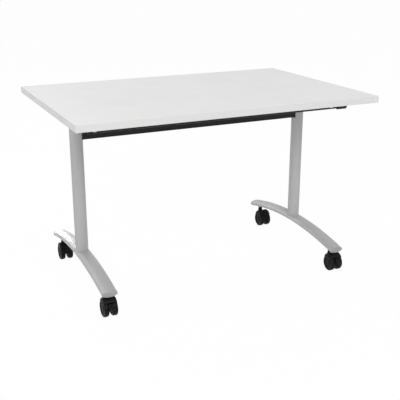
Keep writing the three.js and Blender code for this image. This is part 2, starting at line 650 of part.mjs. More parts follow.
// Release bar with its grip at the right end and a cap at the left one, lying along x
function makeReleaseBar() {
  const group = new THREE.Group();
  group.position.set(0, -BAR_FROM_PIVOT, BAR_HEIGHT);
  const radius = BAR_DIAMETER / 2;
  const leftEnd = -LEG_SPACING / 2 - PAWL_THICK / 2 - BAR_PAST_LEFT_PAWL;
  const rightEnd = LEG_SPACING / 2 + BAR_PAST_RIGHT_LEG;
  group.add(piece('release_bar', rodAlongX(radius, [leftEnd, rightEnd], [0, 0]), blackPaint()));

  const bore = radius + SEAT_GAP;
  const gripEnd = rightEnd + SEAT_GAP + GRIP_END_WALL;
  const gripStart = gripEnd - GRIP_LENGTH;
  const gripRadius = GRIP_DIAMETER / 2;
  const round = gripRadius / 2;
  group.add(piece('release_grip', turnedAboutX([
    [0, rightEnd + SEAT_GAP], [bore, rightEnd + SEAT_GAP], [bore, gripStart],
    [gripRadius - GRIP_END_WALL / 2, gripStart], [gripRadius, gripStart + GRIP_END_WALL / 2],
    [gripRadius, gripEnd - round], [gripRadius - round / 4, gripEnd - round / 2],
    [gripRadius - round, gripEnd], [0, gripEnd],
  ]), blackRubber()));

  const capRadius = BAR_CAP_DIAMETER / 2;
  const capEnd = leftEnd - SEAT_GAP - BAR_CAP_WALL;
  const capStart = capEnd + BAR_CAP_LENGTH;
  group.add(piece('release_bar_cap', turnedAboutX([
    [0, capEnd], [capRadius - BAR_CAP_WALL / 2, capEnd], [capRadius, capEnd + BAR_CAP_WALL / 2],
    [capRadius, capStart], [bore, capStart], [bore, leftEnd - SEAT_GAP], [0, leftEnd - SEAT_GAP],
  ]), blackNylon()));
  return group;
}

// A point round the castor's axle: degrees from the top towards the trailing side, and a radius
function roundAxle(degrees, radius) {
  const angle = THREE.MathUtils.degToRad(degrees);
  return [-CASTOR_TRAIL - radius * Math.sin(angle), WHEEL_RADIUS + radius * Math.cos(angle)];
}

const PEDAL_PIVOT = roundAxle(PEDAL_ANGLE, WHEEL_RADIUS + PEDAL_PIVOT_OUT);

// Castor hood: an arched cover, a web between the wheels, a swivel boss and, if braked, an ear for the pedal
function castorHood(braked) {
  const half = HOOD_WIDTH / 2;
  const [axleY, axleZ] = roundAxle(0, 0);
  const roundArch = (degrees, radius) => {
    const [y, z] = roundAxle(degrees, radius);
    return [y, z + HOOD_RISE];
  };
  const sector = [];
  for (let i = 0; i <= ARC_STEPS; i += 1) {
    const degrees = HOOD_TRAIL_ANGLE - ((HOOD_TRAIL_ANGLE + HOOD_LEAD_ANGLE) * i) / ARC_STEPS;
    sector.push(roundArch(degrees, HOOD_RADIUS + HOOD_SHOULDER));
  }
  const belowAxle = [[axleY + AXLE_BOSS_RADIUS, axleZ - AXLE_BOSS_RADIUS / 2],
    [axleY + AXLE_BOSS_RADIUS / 2, axleZ - AXLE_BOSS_RADIUS],
    [axleY - AXLE_BOSS_RADIUS / 2, axleZ - AXLE_BOSS_RADIUS],
    [axleY - AXLE_BOSS_RADIUS, axleZ - AXLE_BOSS_RADIUS / 2]];
  const webEdge = [];
  for (let i = 0; i <= ARC_STEPS / 2; i += 1) {
    const degrees = WEB_TRAIL_ANGLE - ((WEB_TRAIL_ANGLE - HOOD_TRAIL_ANGLE) * i) / (ARC_STEPS / 2);
    webEdge.push(roundAxle(degrees, WEB_RADIUS));
  }
  const profile = [
    ...sector, roundArch(-HOOD_LEAD_ANGLE, HOOD_RADIUS), ...belowAxle, ...webEdge,
    roundArch(HOOD_TRAIL_ANGLE, HOOD_RADIUS),
  ];
  const shell = turnedAboutX([
    [0, -half], ...shoulder(HOOD_RADIUS, -half, HOOD_SHOULDER),
    ...shoulder(HOOD_RADIUS, half, -HOOD_SHOULDER).reverse(), [0, half],
  ], 2 * ROUND_STEPS).translate([0, axleY, axleZ + HOOD_RISE]);
  const swivel = rodAlongZ(SWIVEL_BOSS_DIAMETER / 2, [WHEEL_RADIUS, SWIVEL_BOSS_TOP], [0, 0], SMALL_STEPS);
  let hood = plateAcrossX(outline(profile), [-half, half]).intersect(shell).add(swivel);
  for (const from of [WEB_HALF, -WEB_HALF - HOOD_WIDTH]) {
    hood = hood.subtract(rodAlongX(WELL_RADIUS, [from, from + HOOD_WIDTH], [axleY, axleZ], ROUND_STEPS));
  }
  if (braked) {
    const [earY, earZ] = PEDAL_PIVOT;
    const [rootY, rootZ] = roundAxle(HOOD_TRAIL_ANGLE, WELL_RADIUS);
    const ear = outline([[earY - PEDAL_EAR_RADIUS, earZ], [earY, earZ + PEDAL_EAR_RADIUS], [rootY, rootZ],
      [axleY - AXLE_BOSS_RADIUS, axleZ], [earY, earZ - PEDAL_EAR_RADIUS]]);
    hood = hood.add(plateAcrossX(ear, [-WEB_HALF, WEB_HALF]))
      .add(rodAlongX(PEDAL_EAR_RADIUS, [-WEB_HALF, WEB_HALF], PEDAL_PIVOT));
    const pinBore = PEDAL_PIN_DIAMETER / 2 + RUNNING_GAP;
    hood = hood.subtract(rodAlongX(pinBore, [-WEB_HALF - CUT_MARGIN, WEB_HALF + CUT_MARGIN], PEDAL_PIVOT));
  }
  const axleBore = AXLE_DIAMETER / 2 + SEAT_GAP;
  const swivelBore = STEM_SWIVEL_DIAMETER / 2 + RUNNING_GAP;
  return hood
    .subtract(rodAlongX(axleBore, [-WEB_HALF - CUT_MARGIN, WEB_HALF + CUT_MARGIN], [axleY, axleZ]))
    .subtract(rodAlongZ(
      swivelBore, [SWIVEL_BOSS_TOP - SWIVEL_BORE_DEPTH, SWIVEL_BOSS_TOP + CUT_MARGIN], [0, 0], SMALL_STEPS,
    ));
}

// Stem: a screw up into the foot's bush, a neck, and a swivel pin down into the hood
function castorStem() {
  const neckBottom = SWIVEL_BOSS_TOP + SEAT_GAP;
  const neckTop = neckBottom + STEM_NECK_LENGTH;
  const pinEnd = SWIVEL_BOSS_TOP - SWIVEL_BORE_DEPTH + SEAT_GAP;
  return turnedAboutZ([
    [0, pinEnd], [STEM_SWIVEL_DIAMETER / 2, pinEnd], [STEM_SWIVEL_DIAMETER / 2, neckBottom],
    [STEM_NECK_DIAMETER / 2, neckBottom], [STEM_NECK_DIAMETER / 2, neckTop],
    [STEM_SCREW_DIAMETER / 2, neckTop], [STEM_SCREW_DIAMETER / 2, CASTOR_HEIGHT + STEM_SCREW_LENGTH],
    [0, CASTOR_HEIGHT + STEM_SCREW_LENGTH],
  ]);
}

// Wheel, along +x from its inner face: a tread, a dished face with a hub, and a blind bore.
// Its facets stand off the axis by the wheel's radius, so that one lies flat on the floor.
function castorWheel() {
  const facetAngle = Math.PI / WHEEL_STEPS;
  const tread = WHEEL_RADIUS / Math.cos(facetAngle);
  const inner = WHEEL_SPACING / 2;
  const outer = inner + WHEEL_WIDTH;
  const bore = AXLE_DIAMETER / 2 + RUNNING_GAP;
  const boreEnd = outer - WHEEL_BORE_FLOOR;
  const dish = outer - WHEEL_DISH;
  const rim = tread - WHEEL_SHOULDER - WHEEL_RIM;
  return turnedAboutX([
    [0, outer], [WHEEL_HUB_RADIUS - WHEEL_DISH / 2, outer], [WHEEL_HUB_RADIUS, dish],
    [rim - WHEEL_DISH / 2, dish], [rim, outer],
    ...shoulder(tread, outer, -WHEEL_SHOULDER), ...shoulder(tread, inner, WHEEL_SHOULDER).reverse(),
    [bore, inner], [bore, boreEnd], [0, boreEnd],
  ], WHEEL_STEPS, facetAngle);
}

// Brake pedal: two cheeks on a pin through the hood's ear, and a tread plate over the trailing side
function brakePedal() {
  const [y, z] = PEDAL_PIVOT;
  const slope = THREE.MathUtils.degToRad(PEDAL_SLOPE);
  const cheekFrom = WEB_HALF + SEAT_GAP;
  const tip = [y - PEDAL_LENGTH * Math.cos(slope), z - PEDAL_LENGTH * Math.sin(slope)];
  const up = [PEDAL_THICK / 2 * -Math.sin(slope), PEDAL_THICK / 2 * Math.cos(slope)];
  const start = [y - PEDAL_EYE_RADIUS - SEAT_GAP, z - (PEDAL_EYE_RADIUS + SEAT_GAP) * Math.tan(slope)];
  const bar = (from) => outline([
    [from[0] + up[0], from[1] + up[1]], [from[0] - up[0], from[1] - up[1]],
    [tip[0] - up[0], tip[1] - up[1]], [tip[0] + up[0], tip[1] + up[1]],
  ]);
  let pedal = plateAcrossX(bar(start), [-PEDAL_WIDTH / 2, PEDAL_WIDTH / 2])
    .add(rodAlongX(PEDAL_PIN_DIAMETER / 2, [-cheekFrom - PEDAL_CHEEK, cheekFrom + PEDAL_CHEEK], PEDAL_PIVOT));
  for (const from of [cheekFrom, -cheekFrom - PEDAL_CHEEK]) {
    const x = [from, from + PEDAL_CHEEK];
    pedal = pedal.add(rodAlongX(PEDAL_EYE_RADIUS, x, PEDAL_PIVOT)).add(plateAcrossX(bar(PEDAL_PIVOT), x));
  }
  return pedal;
}

function makeCastor(side, end, name) {
  const castor = new THREE.Group();
  castor.position.set((side * LEG_SPACING) / 2, end * CASTOR_FROM_COLUMN, 0);
  const braked = end < 0;
  castor.add(piece(`castor_stem_${name}`, castorStem(), blackPaint()));
  castor.add(piece(`castor_hood_${name}`, castorHood(braked), blackNylon()));
  const [axleY, axleZ] = roundAxle(0, 0);
  const axleEnd = WHEEL_SPACING / 2 + WHEEL_WIDTH - WHEEL_BORE_FLOOR - SEAT_GAP;
  const axle = rodAlongX(AXLE_DIAMETER / 2, [-axleEnd, axleEnd], [axleY, axleZ]);
  castor.add(piece(`castor_axle_${name}`, axle, zincSteel()));
  for (const [place, turn] of [['right', 0], ['left', Math.PI]]) {
    const wheel = piece(`castor_wheel_${name}_${place}`, castorWheel(), blackNylon());
    wheel.position.set(0, axleY, axleZ);
    wheel.rotation.z = turn;
    castor.add(wheel);
  }
  if (braked) {
    castor.add(piece(`brake_pedal_${name}`, brakePedal(), blackNylon()));
  }
  return castor;
}

const table = new THREE.Group();
table.add(makeBoard(), makeReleaseBar());
table.add(piece('crossbeam', crossbeam(), blackPaint()));
for (const [side, name] of [[-1, 'left'], [1, 'right']]) {
  table.add(makeLeg(side, name), makeTopHardware(side, name));
  table.add(makeCastor(side, -1, `front_${name}`), makeCastor(side, 1, `back_${name}`));
}

export default table;
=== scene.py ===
"""Looks of the flip top training table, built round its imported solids."""

import math

import bmesh
import bpy
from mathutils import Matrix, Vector


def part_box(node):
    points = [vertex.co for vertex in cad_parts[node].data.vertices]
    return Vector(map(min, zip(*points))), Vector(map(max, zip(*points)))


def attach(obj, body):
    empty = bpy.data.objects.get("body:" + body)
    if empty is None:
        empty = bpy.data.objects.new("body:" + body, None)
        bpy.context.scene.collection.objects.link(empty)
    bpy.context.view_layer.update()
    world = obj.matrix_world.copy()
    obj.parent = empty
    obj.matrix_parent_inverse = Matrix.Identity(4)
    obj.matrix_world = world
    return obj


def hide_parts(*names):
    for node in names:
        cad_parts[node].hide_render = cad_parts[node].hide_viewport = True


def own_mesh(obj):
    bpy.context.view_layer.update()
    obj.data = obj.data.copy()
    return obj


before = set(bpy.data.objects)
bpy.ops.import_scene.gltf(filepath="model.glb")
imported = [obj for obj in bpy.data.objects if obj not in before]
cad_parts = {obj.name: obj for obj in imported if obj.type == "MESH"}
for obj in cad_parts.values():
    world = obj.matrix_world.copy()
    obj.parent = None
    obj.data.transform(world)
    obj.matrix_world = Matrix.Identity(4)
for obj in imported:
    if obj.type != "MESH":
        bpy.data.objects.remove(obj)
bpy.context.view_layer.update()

bpy.ops.object.select_all(action="DESELECT")

MM = 0.001
X, Y, Z = Vector((1, 0, 0)), Vector((0, 1, 0)), Vector((0, 0, 1))
SIDES = ("left", "right")
ENDS = ("front", "back")
SAME_POINT = 0.001 * MM  # points closer than this are one
SLIVER = 0.03 * MM  # length of the edges that cuts leave behind
GAP = 0.3 * MM  # between pieces that move or are fitted


def mm(*pairs):
    """Pairs of lengths written in millimetres."""
    return [(first * MM, second * MM) for first, second in pairs]


# Selecting, editing and finishing by hand

def pick(piece):
    bpy.ops.object.select_all(action="DESELECT")
    piece.select_set(True)
    bpy.context.view_layer.objects.active = piece


def open_mesh(piece):
    pick(piece)
    bpy.ops.object.mode_set(mode="EDIT")


def close_mesh():
    bpy.ops.object.mode_set(mode="OBJECT")


def choose_edges(piece, test):
    bpy.ops.mesh.select_mode(type="EDGE")
    bpy.ops.mesh.select_all(action="DESELECT")
    shape = bmesh.from_edit_mesh(piece.data)
    for edge in shape.edges:
        if test(edge.verts[0].co, edge.verts[1].co):
            edge.select_set(True)
    bmesh.update_edit_mesh(piece.data)


def face_outwards():
    bpy.ops.mesh.select_all(action="SELECT")
    bpy.ops.mesh.remove_doubles(threshold=SAME_POINT)
    bpy.ops.mesh.normals_make_consistent(inside=False)


def set_in_place(piece):
    pick(piece)
    bpy.ops.object.transform_apply(location=True, rotation=True, scale=True)
    return piece


def modify(piece, kind, **settings):
    pick(piece)
    modifier = piece.modifiers.new(kind, kind)
    for name, value in settings.items():
        setattr(modifier, name, value)
    bpy.ops.object.modifier_apply(modifier=modifier.name)
    return piece


def join(piece, other, operation):
    modify(piece, "BOOLEAN", operation=operation, solver="EXACT", object=other)
    bpy.data.objects.remove(other)
    return piece


def cut(piece, cutter):
    return join(piece, cutter, "DIFFERENCE")


def fuse(piece, other):
    return join(piece, other, "UNION")


def trim(piece, outer):
    return join(piece, outer, "INTERSECT")


def clean(piece):
    """Merges the slivers that cuts leave, so that edges can be rounded evenly."""
    open_mesh(piece)
    bpy.ops.mesh.select_all(action="SELECT")
    bpy.ops.mesh.remove_doubles(threshold=SLIVER)
    bpy.ops.mesh.dissolve_degenerate(threshold=SLIVER / 3)
    bpy.ops.mesh.dissolve_limited(angle_limit=math.radians(0.1))
    close_mesh()
    return piece


def soften(piece, width, segments=3, angle=32):
    """Rounds the edges that are sharper than the angle."""
    return modify(piece, "BEVEL", width=width, segments=segments, limit_method="ANGLE",
                  angle_limit=math.radians(angle))


def smooth(piece, angle=38):
    pick(piece)
    bpy.ops.object.shade_smooth_by_angle(angle=math.radians(angle))
    return modify(piece, "WEIGHTED_NORMAL", keep_sharp=True)


def copy_of(piece, shift, turn=(0, 0, 0)):
    pick(piece)
    bpy.ops.object.duplicate(linked=False)
    twin = bpy.context.object
    twin.rotation_euler = turn
    twin.location = shift
    return set_in_place(twin)


def settle(piece, name, body, slot, *nodes):
    """Names a finished piece, gives it its finish, its body and the nodes that it replaces."""
    piece.name = name
    piece.data.name = name
    piece.data.materials.clear()
    piece.data.materials.append(FINISHES[slot])
    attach(piece, body)
    if nodes:
        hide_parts(*nodes)
    return piece


def put_away(*patterns):
    """Removes the pieces from which the copies were made."""
    for pattern in patterns:
        bpy.data.objects.remove(pattern)


# Starting shapes

def slab(low, high):
    bpy.ops.mesh.primitive_cube_add(size=1, location=(low + high) / 2)
    bpy.context.object.scale = high - low
    return set_in_place(bpy.context.object)


def rod(radius, start, end, vertices=48):
    """A round bar between two points on a line along x or along z."""
    turn = (0, math.pi / 2, 0) if abs(end.x - start.x) > MM else (0, 0, 0)
    bpy.ops.mesh.primitive_cylinder_add(
        vertices=vertices, radius=radius, depth=(end - start).length,
        location=(start + end) / 2, rotation=turn)
    return set_in_place(bpy.context.object)


def draw(points):
    """One wire through the points, drawn by extruding a single vertex. The mesh stays open."""
    bpy.ops.object.select_all(action="DESELECT")
    bpy.ops.mesh.primitive_plane_add(size=MM, location=(0, 0, 0))
    wire = bpy.context.object
    bpy.ops.object.mode_set(mode="EDIT")
    bpy.ops.mesh.select_mode(type="VERT")
    bpy.ops.mesh.select_all(action="SELECT")
    bpy.ops.mesh.merge(type="CENTER")
    bpy.ops.mesh.select_all(action="SELECT")
    bpy.ops.transform.translate(value=points[0])
    for here, there in zip(points, points[1:]):
        bpy.ops.mesh.extrude_vertices_move(TRANSFORM_OT_translate={"value": there - here})
    return wire


def turned(profile, centre, along, steps=64):
    """A profile of (radius, place along the line) pairs, spun about a line through centre."""
    across = Z if along.x else X
    piece = draw([centre + along * place + across * radius for radius, place in profile])
    bpy.ops.mesh.select_all(action="SELECT")
    bpy.ops.mesh.spin(steps=steps, angle=2 * math.pi, center=centre, axis=along)
    face_outwards()
    close_mesh()
    return piece


def plate(outline, x0, x1):
    """A closed outline of (y, z) pairs, given its thickness along x."""
    piece = draw([Vector((x0, y, z)) for y, z in outline])
    bpy.ops.mesh.select_all(action="SELECT")
    bpy.ops.mesh.edge_face_add()
    bpy.ops.mesh.extrude_region_move(TRANSFORM_OT_translate={"value": (x1 - x0, 0, 0)})
    face_outwards()
    close_mesh()
    return piece


# Shader node groups: effects that several finishes share

def new_group(name, inputs, outputs):
    tree = bpy.data.node_groups.new(name, "ShaderNodeTree")
    for label, kind, value in inputs:
        tree.interface.new_socket(label, in_out="INPUT", socket_type=kind).default_value = value
    for label, kind in outputs:
        tree.interface.new_socket(label, in_out="OUTPUT", socket_type=kind)
    return tree, tree.nodes.new("NodeGroupInput"), tree.nodes.new("NodeGroupOutput")


def noise(tree, scale, detail, vector):
    node = tree.nodes.new("ShaderNodeTexNoise")
    node.inputs["Detail"].default_value = detail
    tree.links.new(vector, node.inputs["Vector"])
    if isinstance(scale, (int, float)):
        node.inputs["Scale"].default_value = scale
    else:
        tree.links.new(scale, node.inputs["Scale"])
    return node.outputs["Fac"]


def spread(tree, value, low, high, to_low=0.0, to_high=1.0):
    node = tree.nodes.new("ShaderNodeMapRange")
    node.inputs["From Min"].default_value = low
    node.inputs["From Max"].default_value = high
    tree.links.new(value, node.inputs["Value"])
    for label, bound in (("To Min", to_low), ("To Max", to_high)):
        if isinstance(bound, (int, float)):
            node.inputs[label].default_value = bound
        else:
            tree.links.new(bound, node.inputs[label])
    return node.outputs["Result"]


def times(tree, first, second):
    node = tree.nodes.new("ShaderNodeMath")
    node.operation = "MULTIPLY"
    tree.links.new(first, node.inputs[0])
    if isinstance(second, (int, float)):
        node.inputs[1].default_value = second
    else:
        tree.links.new(second, node.inputs[1])
    return node.outputs[0]


def blend_colours(tree, mask, first, second):
    node = tree.nodes.new("ShaderNodeMix")
    node.data_type = "RGBA"
    tree.links.new(mask, node.inputs["Factor"])
    for socket, colour in ((node.inputs[6], first), (node.inputs[7], second)):
        if isinstance(colour, tuple):
            socket.default_value = (*colour, 1)
        else:
            tree.links.new(colour, socket)
    return node.outputs[2]


def object_point(tree):
    return tree.nodes.new("ShaderNodeTexCoord").outputs["Object"]


def tone_drift_group():
    """Colour that drifts between two tones in broad patches, with a fine speckle on top."""
    tree, entry, leave = new_group(
        "tone_drift",
        [("Patch Scale", "NodeSocketFloat", 3.0), ("Speckle Scale", "NodeSocketFloat", 600.0),
         ("Light Tone", "NodeSocketColor", (1, 1, 1, 1)), ("Dark Tone", "NodeSocketColor", (0, 0, 0, 1))],
        [("Colour", "NodeSocketColor"), ("Mask", "NodeSocketFloat")])
    point = object_point(tree)
    patches = spread(tree, noise(tree, entry.outputs["Patch Scale"], 3, point), 0.3, 0.7, 0, 0.6)
    speckle = spread(tree, noise(tree, entry.outputs["Speckle Scale"], 2, point), 0.35, 0.65, 0, 0.4)
    both = tree.nodes.new("ShaderNodeMath")
    tree.links.new(patches, both.inputs[0])
    tree.links.new(speckle, both.inputs[1])
    colour = blend_colours(tree, both.outputs[0], entry.outputs["Light Tone"], entry.outputs["Dark Tone"])
    tree.links.new(colour, leave.inputs["Colour"])
    tree.links.new(both.outputs[0], leave.inputs["Mask"])
    return tree


def grain_group():
    """A fine relief and a gloss that changes a little from place to place."""
    tree, entry, leave = new_group(
        "fine_grain",
        [("Grain Scale", "NodeSocketFloat", 800.0), ("Gloss Scale", "NodeSocketFloat", 9.0),
         ("Smoothest", "NodeSocketFloat", 0.3), ("Roughest", "NodeSocketFloat", 0.5)],
        [("Height", "NodeSocketFloat"), ("Roughness", "NodeSocketFloat")])
    point = object_point(tree)
    tree.links.new(noise(tree, entry.outputs["Grain Scale"], 3, point), leave.inputs["Height"])
    gloss = noise(tree, entry.outputs["Gloss Scale"], 4, point)
    roughness = spread(tree, gloss, 0.3, 0.7, entry.outputs["Smoothest"], entry.outputs["Roughest"])
    tree.links.new(roughness, leave.inputs["Roughness"])
    return tree


def rub_group():
    """Thin scattered rub marks, longer along x than across."""
    tree, entry, leave = new_group(
        "rub_marks",
        [("Scale", "NodeSocketFloat", 60.0), ("Amount", "NodeSocketFloat", 0.3)],
        [("Mask", "NodeSocketFloat")])
    mapping = tree.nodes.new("ShaderNodeMapping")
    mapping.inputs["Scale"].default_value = (0.15, 1.0, 1.0)
    mapping.inputs["Rotation"].default_value = (0.3, 0.2, 0.5)
    tree.links.new(object_point(tree), mapping.inputs["Vector"])
    marks = noise(tree, entry.outputs["Scale"], 5, mapping.outputs["Vector"])
    areas = noise(tree, 7.0, 2, object_point(tree))
    mask = times(tree, spread(tree, marks, 0.6, 0.68), spread(tree, areas, 0.45, 0.65))
    tree.links.new(times(tree, mask, entry.outputs["Amount"]), leave.inputs["Mask"])
    return tree


def dust_group():
    """Thin dust that lies on faces turned upwards, in soft patches."""
    tree, entry, leave = new_group(
        "settled_dust",
        [("Scale", "NodeSocketFloat", 25.0), ("Amount", "NodeSocketFloat", 0.2)],
        [("Mask", "NodeSocketFloat")])
    place = tree.nodes.new("ShaderNodeTexCoord")
    parts = tree.nodes.new("ShaderNodeSeparateXYZ")
    tree.links.new(place.outputs["Normal"], parts.inputs[0])
    upward = spread(tree, parts.outputs["Z"], 0.2, 0.95)
    patches = spread(tree, noise(tree, entry.outputs["Scale"], 5, place.outputs["Object"]), 0.35, 0.7)
    mask = times(tree, upward, patches)
    tree.links.new(times(tree, mask, entry.outputs["Amount"]), leave.inputs["Mask"])
    return tree


TONE_DRIFT = tone_drift_group()
FINE_GRAIN = grain_group()
RUB_MARKS = rub_group()
SETTLED_DUST = dust_group()


def use(tree, group, **values):
    node = tree.nodes.new("ShaderNodeGroup")
    node.node_tree = group
    for label, value in values.items():
        node.inputs[label.replace("_", " ")].default_value = value
    return node


def finish(name, light, dark, patch, speckle, grain, gloss, relief,
           metallic=0.0, rubs=None, dust=None, **plain):
    """A painted, moulded or plated finish. Tones are linear colours; relief is the bump's depth."""
    material = bpy.data.materials.new(name)
    material.use_nodes = True
    tree = material.node_tree
    shader = tree.nodes["Principled BSDF"]
    tone = use(tree, TONE_DRIFT, Patch_Scale=patch, Speckle_Scale=speckle,
               Light_Tone=(*light, 1), Dark_Tone=(*dark, 1))
    colour = tone.outputs["Colour"]
    for group, layer in ((RUB_MARKS, rubs), (SETTLED_DUST, dust)):
        if layer:
            scale, amount, layer_colour = layer
            marks = use(tree, group, Scale=scale, Amount=amount)
            colour = blend_colours(tree, marks.outputs["Mask"], colour, layer_colour)
    tree.links.new(colour, shader.inputs["Base Color"])
    surface = use(tree, FINE_GRAIN, Grain_Scale=grain, Gloss_Scale=GLOSS_SCALE,
                  Smoothest=gloss[0], Roughest=gloss[1])
    tree.links.new(surface.outputs["Roughness"], shader.inputs["Roughness"])
    bump = tree.nodes.new("ShaderNodeBump")
    bump.inputs["Strength"].default_value = BUMP_STRENGTH
    bump.inputs["Distance"].default_value = relief
    tree.links.new(surface.outputs["Height"], bump.inputs["Height"])
    tree.links.new(bump.outputs["Normal"], shader.inputs["Normal"])
    shader.inputs["Metallic"].default_value = metallic
    for label, value in plain.items():
        shader.inputs[label.replace("_", " ")].default_value = value
    return material


# Rubs and dust are a scale, an amount and a colour
GLOSS_SCALE = 9.0
BUMP_STRENGTH = 0.35
DUST_TONE = (0.45, 0.44, 0.42)
FINISH_VALUES = {
    "laminate": dict(
        light=(0.71, 0.71, 0.706), dark=(0.675, 0.675, 0.671), patch=2.2, speckle=700,
        grain=900, gloss=(0.36, 0.46), relief=0.05 * MM),
    "edging": dict(
        light=(0.66, 0.66, 0.655), dark=(0.63, 0.63, 0.625), patch=3.0, speckle=500,
        grain=1200, gloss=(0.34, 0.42), relief=0.03 * MM),
    "silver_paint": dict(
        light=(0.46, 0.46, 0.458), dark=(0.41, 0.41, 0.408), patch=5.0, speckle=2600,
        grain=1500, gloss=(0.48, 0.60), relief=0.012 * MM, metallic=0.35),
    "black_paint": dict(
        light=(0.013, 0.013, 0.0135), dark=(0.008, 0.008, 0.0085), patch=8.0, speckle=900,
        grain=1100, gloss=(0.40, 0.55), relief=0.12 * MM,
        rubs=(90, 0.2, (0.05, 0.05, 0.05)), dust=(30, 0.02, DUST_TONE), Specular_IOR_Level=0.22),
    "zinc_steel": dict(
        light=(0.66, 0.67, 0.68), dark=(0.52, 0.53, 0.55), patch=40.0, speckle=1500,
        grain=1800, gloss=(0.22, 0.40), relief=0.03 * MM, metallic=1.0,
        rubs=(140, 0.4, (0.40, 0.40, 0.41))),
    "nylon": dict(
        light=(0.006, 0.006, 0.0062), dark=(0.004, 0.004, 0.0042), patch=18.0, speckle=1600,
        grain=1700, gloss=(0.42, 0.56), relief=0.08 * MM,
        rubs=(160, 0.25, (0.015, 0.015, 0.015)), dust=(60, 0.008, DUST_TONE), Specular_IOR_Level=0.11),
    "grey_plastic": dict(
        light=(0.36, 0.365, 0.37), dark=(0.31, 0.315, 0.32), patch=12.0, speckle=1200,
        grain=1500, gloss=(0.42, 0.55), relief=0.06 * MM),
    "rubber": dict(
        light=(0.022, 0.022, 0.022), dark=(0.014, 0.014, 0.014), patch=25.0, speckle=1400,
        grain=1300, gloss=(0.68, 0.82), relief=0.12 * MM, dust=(70, 0.15, DUST_TONE)),
}
FINISHES = {slot: finish(slot, **values) for slot, values in FINISH_VALUES.items()}


# Board and edge strips
ARRIS = 1.0 * MM  # rounding of the strips' outer edges
CORNER = 1.9 * MM  # rounding of the board's corners
CORE_ARRIS = 0.2 * MM
GLUE_CLOSE = 0.25 * MM  # by which the core reaches towards the strips


def make_board():
    low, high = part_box("tabletop")
    reach = Vector((GLUE_CLOSE, GLUE_CLOSE, 0))
    core = slab(low - reach, high + reach)
    soften(core, CORE_ARRIS, segments=2)
    settle(smooth(core), "board_core", "top", "laminate", "tabletop")


def make_edge_strip(place, outward):
    low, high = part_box(f"edge_{place}")
    strip = slab(low, high)
    span = Vector(map(abs, outward))
    inner = (high if outward.x + outward.y < 0 else low).dot(span)

    def off_core(corner):
        return abs(corner.dot(span) - inner)

    open_mesh(strip)
    if outward.y:
        choose_edges(strip, lambda a, b: abs(a.z - b.z) > MM and off_core(a) > MM / 2)
        bpy.ops.mesh.bevel(offset=CORNER, segments=5, affect="EDGES")
    choose_edges(strip, lambda a, b: abs(a.z - b.z) < MM / 10
                 and max(off_core(a), off_core(b)) > MM / 20
                 and (outward.y or min(off_core(a), off_core(b)) > MM / 20))
    bpy.ops.mesh.bevel(offset=ARRIS, segments=4, affect="EDGES")
    close_mesh()
    settle(smooth(strip), f"edge_strip_{place}", "top", "edging", f"edge_{place}")


make_board()
for strip_place, strip_side in (("front", -Y), ("back", Y), ("left", -X), ("right", X)):
    make_edge_strip(strip_place, strip_side)


# Legs
LEG_X = {side: sum(corner.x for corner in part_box(f"column_{side}")) / 2 for side in SIDES}
COLUMN_RADIUS = 25 * MM
COLUMN_WALL = 2 * MM
COLUMN_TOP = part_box("column_left")[1].z
FOOT_HALF_WIDTH = 30 * MM
FOOT_HALF_THICK = 13.5 * MM
FOOT_WALL = 2 * MM
FOOT_BEND = 1500 * MM
FOOT_SPAN = 335 * MM
FOOT_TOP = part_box("foot_left")[1].z
FOOT_CENTRE = Vector((0, 0, FOOT_TOP - FOOT_HALF_THICK - FOOT_BEND))
FOOT_ANGLE = math.asin(FOOT_SPAN / FOOT_BEND)
SADDLE_GAP = 0.1 * MM
CASTOR_Y = 294.5 * MM
FOOT_BUSH_RADIUS = 11 * MM
FOOT_BUSH_BORE = 5.4 * MM
FOOT_BUSH_LENGTH = 12 * MM
FOOT_BUSH_BOTTOM = 85.1 * MM
FOOT_DRILL_START, FOOT_DRILL_LENGTH = FOOT_BUSH_BOTTOM - 10 * MM, 22 * MM
CAP_PLUG = 14 * MM
CAP_PLAY = 0.7 * MM
CAP_RIM = 1.7 * MM
BEAD = 1.6 * MM
BEAD_RIPPLE, RIPPLE_POINTS = 0.12, 5
BEAD_STEPS = 220
PAST = 5 * MM  # by which a cutter reaches past what it cuts


def foot_point(toward_back):
    """The middle of a foot's end, at its back (1) or its front (-1)."""
    return FOOT_CENTRE + FOOT_BEND * Vector(
        (0, toward_back * math.sin(FOOT_ANGLE), math.cos(FOOT_ANGLE)))


def spun_oval(half_width, half_thick):
    """The bent oval form of a foot, open at its ends."""
    bpy.ops.mesh.primitive_circle_add(
        vertices=48, radius=1, location=foot_point(-1), rotation=(math.pi / 2 + FOOT_ANGLE, 0, 0))
    oval = bpy.context.object
    oval.scale = (half_width, half_thick, 1)
    set_in_place(oval)
    open_mesh(oval)
    bpy.ops.mesh.select_all(action="SELECT")
    bpy.ops.mesh.spin(steps=64, angle=2 * FOOT_ANGLE, center=FOOT_CENTRE, axis=X)
    face_outwards()
    close_mesh()
    return oval


def make_foot():
    foot = spun_oval(FOOT_HALF_WIDTH, FOOT_HALF_THICK)
    modify(foot, "SOLIDIFY", thickness=FOOT_WALL, offset=-1)
    for y in (-CASTOR_Y, CASTOR_Y):
        hole = Vector((0, y, FOOT_DRILL_START))
        cut(foot, rod(FOOT_BUSH_RADIUS, hole, hole + FOOT_DRILL_LENGTH * Z))
    return smooth(foot)


def foot_surface(x, y):
    """Height of a foot's upper side over a point beside its middle."""
    bulge = FOOT_HALF_THICK * math.sqrt(max(0, 1 - (x / FOOT_HALF_WIDTH) ** 2))
    return FOOT_CENTRE.z + math.sqrt((FOOT_BEND + bulge) ** 2 - y ** 2)


